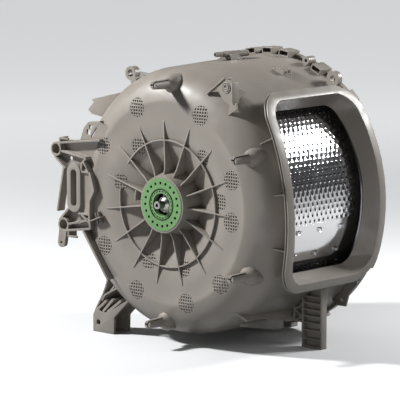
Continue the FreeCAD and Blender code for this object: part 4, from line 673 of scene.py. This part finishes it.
def plain_skin():
    """The skin between and beside the punched panels."""
    start_fresh()
    bpy.ops.mesh.primitive_cylinder_add(vertices=round(360 / ROW_STEP), radius=DRUM_R,
                                        depth=DRUM_END - DRUM_START, end_fill_type="NOTHING",
                                        location=DRUM_MIDDLE, rotation=(math.radians(90), 0, 0))
    skin = bpy.context.object
    skin.name = "drum_sheet"
    settle(skin)
    edit()
    for y in (PANEL_Y, PANEL_END_Y) + DOOR_Y:
        cut_along((0, 1, 0), (0, y, 0))
    for angle in (DOOR_START, DOOR_END):
        cut_along(polar(1, angle + 90), (0, 0, 0))
    for start in PANEL_STARTS.values():
        delete_faces(lambda p: PANEL_Y < p.y < PANEL_END_Y and within(p, start, start + PANEL_SWEEP))
    delete_faces(lambda p: DOOR_Y[0] < p.y < DOOR_Y[1] and within(p, DOOR_START, DOOR_END))
    edit(False)
    give_thickness(skin)
    return finish_piece(skin, "drum", "drum_steel", replaces=["drum_skin"])


print("plain skin faces:", len(plain_skin().data.polygons))

# %% [markdown]
# The end of the tub is a dish that steepens towards the hub, with no edge where it starts. A disc with
# rings of vertices could be pulled into shape, but a section spun round the axis is exact all round.
# It is a closed ring of points: up the outside from the hub's rim to the shoulder, and back down the
# inside to the seat of the bearing carrier. A low soft ridge runs where the flat ring turns into the
# shoulder.

# %% The dished end
HUB_RIM = (52.5 * MM, 1.0 * MM)
HUB_FOOT = (62 * MM, 40 * MM)
DISH_R = 152 * MM
DISH_BEND = 1.7
RIDGE_R = 188 * MM
RIDGE_REACH = 24 * MM
RIDGE_HEIGHT = 1.8 * MM
FACE_END_R = 226 * MM
FACE_STEPS = 54
FLAT_Y = 15 * MM
FLAT_END_R = 184 * MM
SHOULDER_R = 66 * MM
SHOULDER_STEPS = 8
END_WALL = 3.5 * MM
SPLIT_Y = 60 * MM
CARRIER_SEAT = ((62, 46), (33, 46), (33, 6), (49, 6), (49, 1))
SPIN_STEPS = 180


def face_y(radius):
    """Where the end's outer surface lies at a radius from the drum's axis."""
    hub_r, hub_y = HUB_FOOT
    if radius < DISH_R:
        share = (DISH_R - radius) / (DISH_R - hub_r)
        return FLAT_Y + (hub_y - FLAT_Y) * share ** DISH_BEND
    ridge = RIDGE_HEIGHT * max(0, 1 - abs(radius - RIDGE_R) / RIDGE_REACH) ** 2
    if radius < FLAT_END_R:
        return FLAT_Y - ridge
    return FLAT_Y - ridge + SHOULDER_R - math.sqrt(SHOULDER_R ** 2 - (radius - FLAT_END_R) ** 2)


def shoulder_arc(radius):
    """Points on a shoulder arc of this radius, from the face's end to the barrel."""
    centre_y = FLAT_Y + SHOULDER_R
    first = math.asin((FACE_END_R - FLAT_END_R) / radius)
    last = math.acos((centre_y - SPLIT_Y) / radius)
    angles = [first + (last - first) * k / SHOULDER_STEPS for k in range(1, SHOULDER_STEPS + 1)]
    return [(FLAT_END_R + radius * math.sin(a), centre_y - radius * math.cos(a)) for a in angles]


def end_section():
    """The end's section as a closed ring of (radius, y) points."""
    radii = [HUB_FOOT[0] + (FACE_END_R - HUB_FOOT[0]) * k / FACE_STEPS for k in range(FACE_STEPS + 1)]
    outside = [HUB_RIM] + [(r, face_y(r)) for r in radii] + shoulder_arc(SHOULDER_R)
    inside = [(r, face_y(r) + END_WALL) for r in radii] + shoulder_arc(SHOULDER_R - END_WALL)
    return outside + inside[::-1] + in_metres(CARRIER_SEAT)


def spin_section(points, name, steps):
    """A closed section spun round the Y axis."""
    start_fresh()
    bpy.ops.mesh.primitive_circle_add(vertices=len(points), radius=1)
    ring = bpy.context.object
    ring.name = name
    for vertex, (radius, y) in zip(ring.data.vertices, points):
        vertex.co = (radius, y, 0)
    edit()
    bpy.ops.mesh.select_all(action="SELECT")
    bpy.ops.mesh.spin(steps=steps, angle=math.tau, center=(0, 0, 0), axis=(0, 1, 0))
    bpy.ops.mesh.select_all(action="SELECT")
    bpy.ops.mesh.remove_doubles(threshold=MERGE_WITHIN)
    edit(False)
    face_outwards(ring)
    return ring


dished_end = spin_section(end_section(), "dished_end", SPIN_STEPS)
print("dished end faces:", len(dished_end.data.polygons))

# %% [markdown]
# The end has round mesh fields: a plate full of small square pits in a pocket as deep as itself. Pits
# cut straight into the dish would tear up its even rings of faces. So a flat grid is laid out, its
# cells are inset and pushed in, and the plate is closed below and cut round. It is then laid on the
# dish as a piece of its own. The pockets are cut by the same plates without pits, laid deeper and
# drawn out through the surface. The fields come in two sizes, and each has its place: how many
# millimetres it lies from the axis, and at what angle.

# %% Mesh fields
FIELD_SETS = {
    18 * MM: ((188, 113), (188, 64), (168, 20), (158, -7), (188, -46),
              (187, -75), (186, -114), (184, -149), (188, 149)),
    16 * MM: ((124, 126), (127, 47), (130, 7), (124, -71), (122, -113), (122, 166)),
}
PIT_PITCH = 5.8 * MM
PIT_WALL = 1.1 * MM
PIT_DEPTH = 2.0 * MM
POCKET_DEPTH = 2.4 * MM
FIELD_DEPTH = 2.3 * MM
FIELD_SINK = 0.05 * MM
FIELD_GAP = 0.1 * MM
FIELD_CELLS = 7
ROUND_SIDES = 40
CUTTER_Y = -20 * MM


def round_plate(radius, pits):
    """A flat round plate with a gridded top, closed below, with or without square pits."""
    start_fresh()
    bpy.ops.mesh.primitive_grid_add(x_subdivisions=FIELD_CELLS, y_subdivisions=FIELD_CELLS,
                                    size=FIELD_CELLS * PIT_PITCH)
    field = bpy.context.object
    edit()
    if pits:
        bpy.ops.mesh.select_all(action="SELECT")
        bpy.ops.mesh.inset(thickness=PIT_WALL, use_individual=True)
        bpy.ops.mesh.extrude_region_move(TRANSFORM_OT_translate={"value": (0, 0, -PIT_DEPTH)})
    bpy.ops.mesh.select_all(action="DESELECT")
    bpy.ops.mesh.select_mode(type="EDGE")
    bpy.ops.mesh.select_non_manifold()
    bpy.ops.mesh.extrude_edges_move(TRANSFORM_OT_translate={"value": (0, 0, -FIELD_DEPTH)})
    bpy.ops.mesh.edge_face_add()
    edit(False)
    face_outwards(field)
    bpy.ops.mesh.primitive_cylinder_add(vertices=ROUND_SIDES, radius=radius, depth=4 * FIELD_DEPTH)
    cut_with(field, bpy.context.object, "INTERSECT")
    return field


def field_height(radius, height):
    """Where a point of a mesh field lies along the axis."""
    return face_y(radius) + FIELD_SINK - height


def cutter_height(radius, height):
    """Where a point of a pocket's cutter lies along the axis."""
    return face_y(radius) + POCKET_DEPTH if height > -FIELD_DEPTH / 2 else CUTTER_Y


def lay_on_end(plate, path_r, degrees, height_of):
    """A copy of a flat plate, laid on the tub's end at a place round the axis."""
    centre = polar(path_r * MM, degrees)
    laid = copy_of(plate)
    for vertex in laid.data.vertices:
        across, along, height = vertex.co
        x, z = centre.x + across, centre.z + along
        vertex.co = (x, height_of(math.hypot(x, z), height), z)
    return laid


def all_fields(name, gap, pits, height_of):
    """One plate for every field of the end, joined."""
    laid = []
    for radius, places in FIELD_SETS.items():
        plate = round_plate(radius - gap, pits)
        laid.extend(lay_on_end(plate, *place, height_of) for place in places)
        bpy.data.objects.remove(plate)
    joined = join_all(laid, name)
    face_outwards(joined)
    return joined


cut_with(dished_end, all_fields("pocket_cutters", 0, False, cutter_height))
finish_piece(dished_end, "tub", "tub_plastic", smooth=30, replaces=["drive_end_shell"])
fields = all_fields("mesh_fields", FIELD_GAP, True, field_height)
finish_piece(fields, "tub", "tub_plastic", smooth=20)
print("dished end:", len(dished_end.data.polygons), "mesh fields:", len(fields.data.polygons))

# %% [markdown]
# Four posts stand on the shoulder to carry the counterweight. A post is a slim cone on a round dome
# that is half sunk in the shoulder. It could be cut to the shoulder with a boolean, which would leave
# a hard line round its foot. So its section is spun first, and its foot is then laid on the surface
# point by point. A long slit and two short slots give it its Y-shaped tip. Each cut has an angle, a
# width, a reach from the post's axis and a length.

# %% Weight posts
POST_PATH_R = 222 * MM
POST_ANGLES = (27, -31, 89, -93)
POST_PROFILE = ((0, -26), (6.8, -26), (7.6, -25.2), (9.4, 8), (10.2, 11.5), (12.2, 14.5), (14.8, 17.5),
                (16.8, 21.5), (18, 27), (18.2, 32), (18.2, 60), (0, 60))
POST_SUNK = 0.6 * MM
POST_CUTS = ((55, 2.8, 12, 38), (175, 3.0, 6.2, 14), (295, 3.0, 6.2, 14))
CUT_OVERSHOOT = 1


def post_cut(degrees, width, reach, length):
    """A box that cuts a slot from the post's axis outwards, starting before its tip."""
    start_fresh()
    middle_y = POST_PROFILE[0][1] + length / 2 - CUT_OVERSHOOT
    bpy.ops.mesh.primitive_cube_add(size=1, location=polar(reach / 2 * MM, degrees, middle_y * MM),
                                    rotation=(0, -math.radians(degrees), 0))
    box = bpy.context.object
    box.scale = (reach * MM, length * MM, width * MM)
    settle(box)
    return box


def weight_post():
    """One post about the Y axis, with its foot still flat."""
    post = spin_section(in_metres(POST_PROFILE), "weight_post", ROUND_SIDES)
    for values in POST_CUTS:
        cut_with(post, post_cut(*values))
    return post


def stand_post(post, degrees):
    """A copy of the post on the shoulder, its foot sunk to follow the surface."""
    standing = copy_of(post, polar(POST_PATH_R, degrees))
    for vertex in standing.data.vertices:
        surface = face_y(math.hypot(vertex.co.x, vertex.co.z))
        vertex.co.y = min(vertex.co.y, surface + POST_SUNK)
    return standing


pattern = weight_post()
posts = join_all([stand_post(pattern, degrees) for degrees in POST_ANGLES], "weight_posts")
bpy.data.objects.remove(pattern)
finish_piece(posts, "tub", "tub_plastic", smooth=35, replaces=["weight_post_%d" % n for n in range(1, 5)])
print("weight posts:", len(posts.data.polygons))

# %% [markdown]
# Small upright bars stand on the motor bracket and beside it: the tongue of a spring clip, a rib that
# crosses the shell and the two sides of a narrow slot. Each could be an outline that is extruded, but
# a straight bar is quicker to place by its two ends. It is a cube drawn out between them, with its
# edges bevelled. Each row gives its two ends, its width, and where it starts and stops along Y.

# %% Bars of the bracket
BARS = (((-201, 60.5), (-189, 45), 2.8, 2, 18), ((-183, -49), (-157, -39), 2.4, 1, 17),
        ((-174, -33), (-166.5, -54), 1.8, 6, 17), ((-168.5, -31), (-161, -52), 1.8, 6, 17))
BAR_EDGE = 0.4 * MM


def upright_bar(start, end, width, low, high):
    """A bar between two (x, z) points that reaches from one y to another, all in mm."""
    start_fresh()
    (x0, z0), (x1, z1) = start, end
    middle = Vector((x0 + x1, low + high, z0 + z1)) / 2 * MM
    bpy.ops.mesh.primitive_cube_add(size=1, location=middle, rotation=(0, -math.atan2(z1 - z0, x1 - x0), 0))
    bar = bpy.context.object
    bar.scale = (math.hypot(x1 - x0, z1 - z0) * MM, (high - low) * MM, width * MM)
    settle(bar)
    add_modifier(bar, "BEVEL", width=BAR_EDGE, segments=2)
    return bar


bars = join_all([upright_bar(*values) for values in BARS], "bracket_bars")
finish_piece(bars, "tub", "tub_plastic")
print("bars:", len(bars.data.polygons))

# %% [markdown]
# The hanger ear is moulded from thin walls, which keeps it light: a pointed plate with a ringed hole,
# an arm down its upper edge, an upright flange on its right and a fin behind that. A solid block could
# be hollowed out, but thin walls are drawn faster one by one: plates as outlines that are extruded,
# the ring as a section that is spun. What would reach through the shoulder stops inside its wall.

# %% Hanger ear
EAR_HOLE = polar(260 * MM, 59)
EAR_LOW, EAR_HIGH = 27, 31
EAR_PLATE = ((-24, -1), (-3, 15), (8, 13), (15, 9), (16, -27),
             (23, -27), (25, -38), (5, -50), (8, -31), (-7, -23))
EAR_WALLS = (((-4, 16.5), (-47, -15), 2.6, 25, 47), ((15.5, 10), (16.5, -28), 2.6, 24.5, 42))
EAR_FIN = ((30, 5), (30, -27), (66, -9))
EAR_FIN_X = 15.5
EAR_FIN_T = 2.4
EAR_RING = ((4.6, 31), (4.6, 25), (7.2, 25), (7.2, 26.6), (8.4, 26.6), (8.4, 25.6), (9.6, 25.6), (9.6, 31))
EAR_RING_R = EAR_RING[-1][0] * MM
HOLE_CUTTER_LENGTH = 200 * MM


def outline_plate(points, low, high):
    """A plate with an outline of (x, z) points that reaches from one y to another, all in mm."""
    start_fresh()
    bpy.ops.mesh.primitive_circle_add(vertices=len(points), radius=1, fill_type="NGON")
    outline = bpy.context.object
    for vertex, (x, z) in zip(outline.data.vertices, points):
        vertex.co = (x * MM, low * MM, z * MM)
    edit()
    bpy.ops.mesh.select_all(action="SELECT")
    bpy.ops.mesh.extrude_region_move(TRANSFORM_OT_translate={"value": (0, (high - low) * MM, 0)})
    edit(False)
    face_outwards(outline)
    return outline


def ear_plate():
    """The pointed plate with the hole that the ring fills."""
    plate = outline_plate(EAR_PLATE, EAR_LOW, EAR_HIGH)
    bpy.ops.mesh.primitive_cylinder_add(vertices=ROUND_SIDES, radius=EAR_RING_R, depth=HOLE_CUTTER_LENGTH,
                                        rotation=(math.radians(90), 0, 0))
    cut_with(plate, bpy.context.object)
    return plate


def ear_fin():
    """The fin, drawn flat like the plate and then turned to run along the drum's axis."""
    fin = outline_plate(EAR_FIN, -EAR_FIN_T / 2, EAR_FIN_T / 2)
    for vertex in fin.data.vertices:
        along, across, z = vertex.co
        vertex.co = (EAR_FIN_X * MM + across, along, z)
    face_outwards(fin)
    return fin


def hanger_ear():
    """The ear's walls, joined and stopped inside the shoulder's wall."""
    ring = spin_section(in_metres(EAR_RING), "ear_ring", ROUND_SIDES)
    walls = [upright_bar(*values) for values in EAR_WALLS]
    ear = join_all([ear_plate(), ear_fin(), ring] + walls, "ear_walls")
    move_mesh(ear, EAR_HOLE)
    for vertex in ear.data.vertices:
        reach = math.hypot(vertex.co.x, vertex.co.z)
        if reach < FLAT_END_R + SHOULDER_R:
            vertex.co.y = min(vertex.co.y, face_y(reach) + END_WALL / 2)
    return finish_piece(ear, "tub", "tub_plastic", smooth=30, replaces=["hanger_ear"])


print("hanger ear:", len(hanger_ear().data.polygons))

# %% [markdown]
# Mouldings have rounded edges, which catch the light: wide ones on the thick frame of the mouth and
# fine ones on brackets and ribs. The Bevel node only shades an edge as if it were round, while a bevel
# in the mesh also softens the outline, so the mouldings seen close by get one. Each is a copy of the
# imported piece: its loose triangles are merged, flat faces are made whole, and the sharp edges that
# are left are bevelled.

# %% Rounded mouldings
EDGE_WIDTHS = {"mouth_collar": 2.2 * MM, "motor_bracket": 0.6 * MM, "shock_bracket": 0.6 * MM,
               "support_leg": 0.5 * MM, "cable_tab": 0.5 * MM, "tangent_web": 0.5 * MM,
               "wing_bracket": 0.5 * MM, "keel_plates": 0.5 * MM, "radial_ribs": 0.4 * MM}
FLAT_ANGLE = math.radians(3)
SHARP_ANGLE = math.radians(50)


def rounded_copy(name, width):
    """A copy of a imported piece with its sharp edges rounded."""
    rounded = bpy.data.objects.new(name + "_rounded", nodes[name].data.copy())
    bpy.context.scene.collection.objects.link(rounded)
    select_only(rounded)
    edit()
    bpy.ops.mesh.select_all(action="SELECT")
    bpy.ops.mesh.remove_doubles(threshold=MERGE_WITHIN)
    bpy.ops.mesh.dissolve_limited(angle_limit=FLAT_ANGLE)
    edit(False)
    add_modifier(rounded, "BEVEL", width=width, segments=3, limit_method="ANGLE", angle_limit=SHARP_ANGLE)
    return rounded


for name, edge_width in EDGE_WIDTHS.items():
    moulding = finish_piece(rounded_copy(name, edge_width), "tub", slots[name], smooth=40, replaces=[name])
    print(moulding.name, "faces:", len(moulding.data.polygons))

# %% [markdown]
# The studio is plain: a floor, a weak even world and four lamps. The key lamp is small, high and well
# to the left, so every rib throws a crisp shadow to the right. A lamp behind and to the right lights
# the frame of the mouth and is mirrored by the drum. Two weak lamps fill the shaded side. A brighter
# world could fill it too, but it would wash out every shadow.

# %% Lamps and world
WORLD_COLOUR = (0.86, 0.88, 0.92, 1)
WORLD_STRENGTH = 0.09
LAMPS = {"key": ((-1.68, -1.38, 1.70), (0.30, 0.30), 118),
         "steel": ((0.75, 1.30, 0.80), (0.50, 0.22), 21),
         "fill": ((2.40, 0.50, 1.20), (1.2, 1.2), 7),
         "low": ((0.56, -0.60, -0.14), (0.25, 0.25), 0.8)}


def studio_world():
    """A weak, even world."""
    world = bpy.data.worlds.new("studio")
    world.use_nodes = True
    background = world.node_tree.nodes["Background"]
    background.inputs["Color"].default_value = WORLD_COLOUR
    background.inputs["Strength"].default_value = WORLD_STRENGTH
    bpy.context.scene.world = world


def add_lamp(name, place, size, power):
    """A soft lamp aimed at the middle of the tub."""
    bpy.ops.object.light_add(type="AREA", location=place)
    lamp = bpy.context.object
    lamp.name = name
    lamp.data.shape = "RECTANGLE"
    lamp.data.size, lamp.data.size_y = size
    lamp.data.energy = power
    lamp.rotation_euler = (DRUM_MIDDLE - Vector(place)).to_track_quat("-Z", "Y").to_euler()
    return lamp


start_fresh()
studio_world()
lamps = [add_lamp(name, *values) for name, values in LAMPS.items()]
bpy.context.scene.view_settings.view_transform = "Standard"
print("lamps:", [lamp.name for lamp in lamps])

# %% [markdown]
# The floor has two looks. Where it lights the part it is dark, so that it throws little light up and
# the underside stays in shadow. Where it is looked at, straight or in a mirror, it is pale, and it
# glows softly further out, so the backdrop is even. A second light for the backdrop would also have
# lit the tub.

# %% Floor
FLOOR_COLOUR = (0.10, 0.105, 0.115, 1)
FLOOR_SEEN = (0.93, 0.94, 0.95, 1)
FLOOR_GLOW = 0.60
FLOOR_ROUGH = 0.6
FLOOR_SIZE = 80
GLOW_START = 0.9
GLOW_END = 4.0


def floor_material():
    """The floor's finish, with a pale look for the camera and for mirrors."""
    material = bpy.data.materials.new("studio_floor")
    material.use_nodes = True
    tree = material.node_tree
    shader = tree.nodes["Principled BSDF"]
    path = add_node(tree, "LightPath").outputs
    mirrored = maths(tree, "MAXIMUM", path["Is Glossy Ray"], path["Is Transmission Ray"])
    seen = maths(tree, "MAXIMUM", path["Is Camera Ray"], mirrored)
    place = add_node(tree, "TexCoord").outputs["Object"]
    distance = combine(tree, "VectorMath", "LENGTH", place).outputs["Value"]
    glow = maths(tree, "MULTIPLY", seen, ramp(tree, distance, GLOW_START, GLOW_END))
    tree.links.new(mix_colours(tree, seen, FLOOR_COLOUR, FLOOR_SEEN), shader.inputs["Base Color"])
    tree.links.new(maths(tree, "MULTIPLY", glow, FLOOR_GLOW), shader.inputs["Emission Strength"])
    shader.inputs["Emission Color"].default_value = FLOOR_SEEN
    shader.inputs["Roughness"].default_value = FLOOR_ROUGH
    return material


bpy.ops.mesh.primitive_plane_add(size=FLOOR_SIZE, location=(0, 0, FLOOR_Z))
floor = bpy.context.object
floor.name = "studio_floor"
floor.data.materials.append(floor_material())
print("floor level:", floor.location.z)
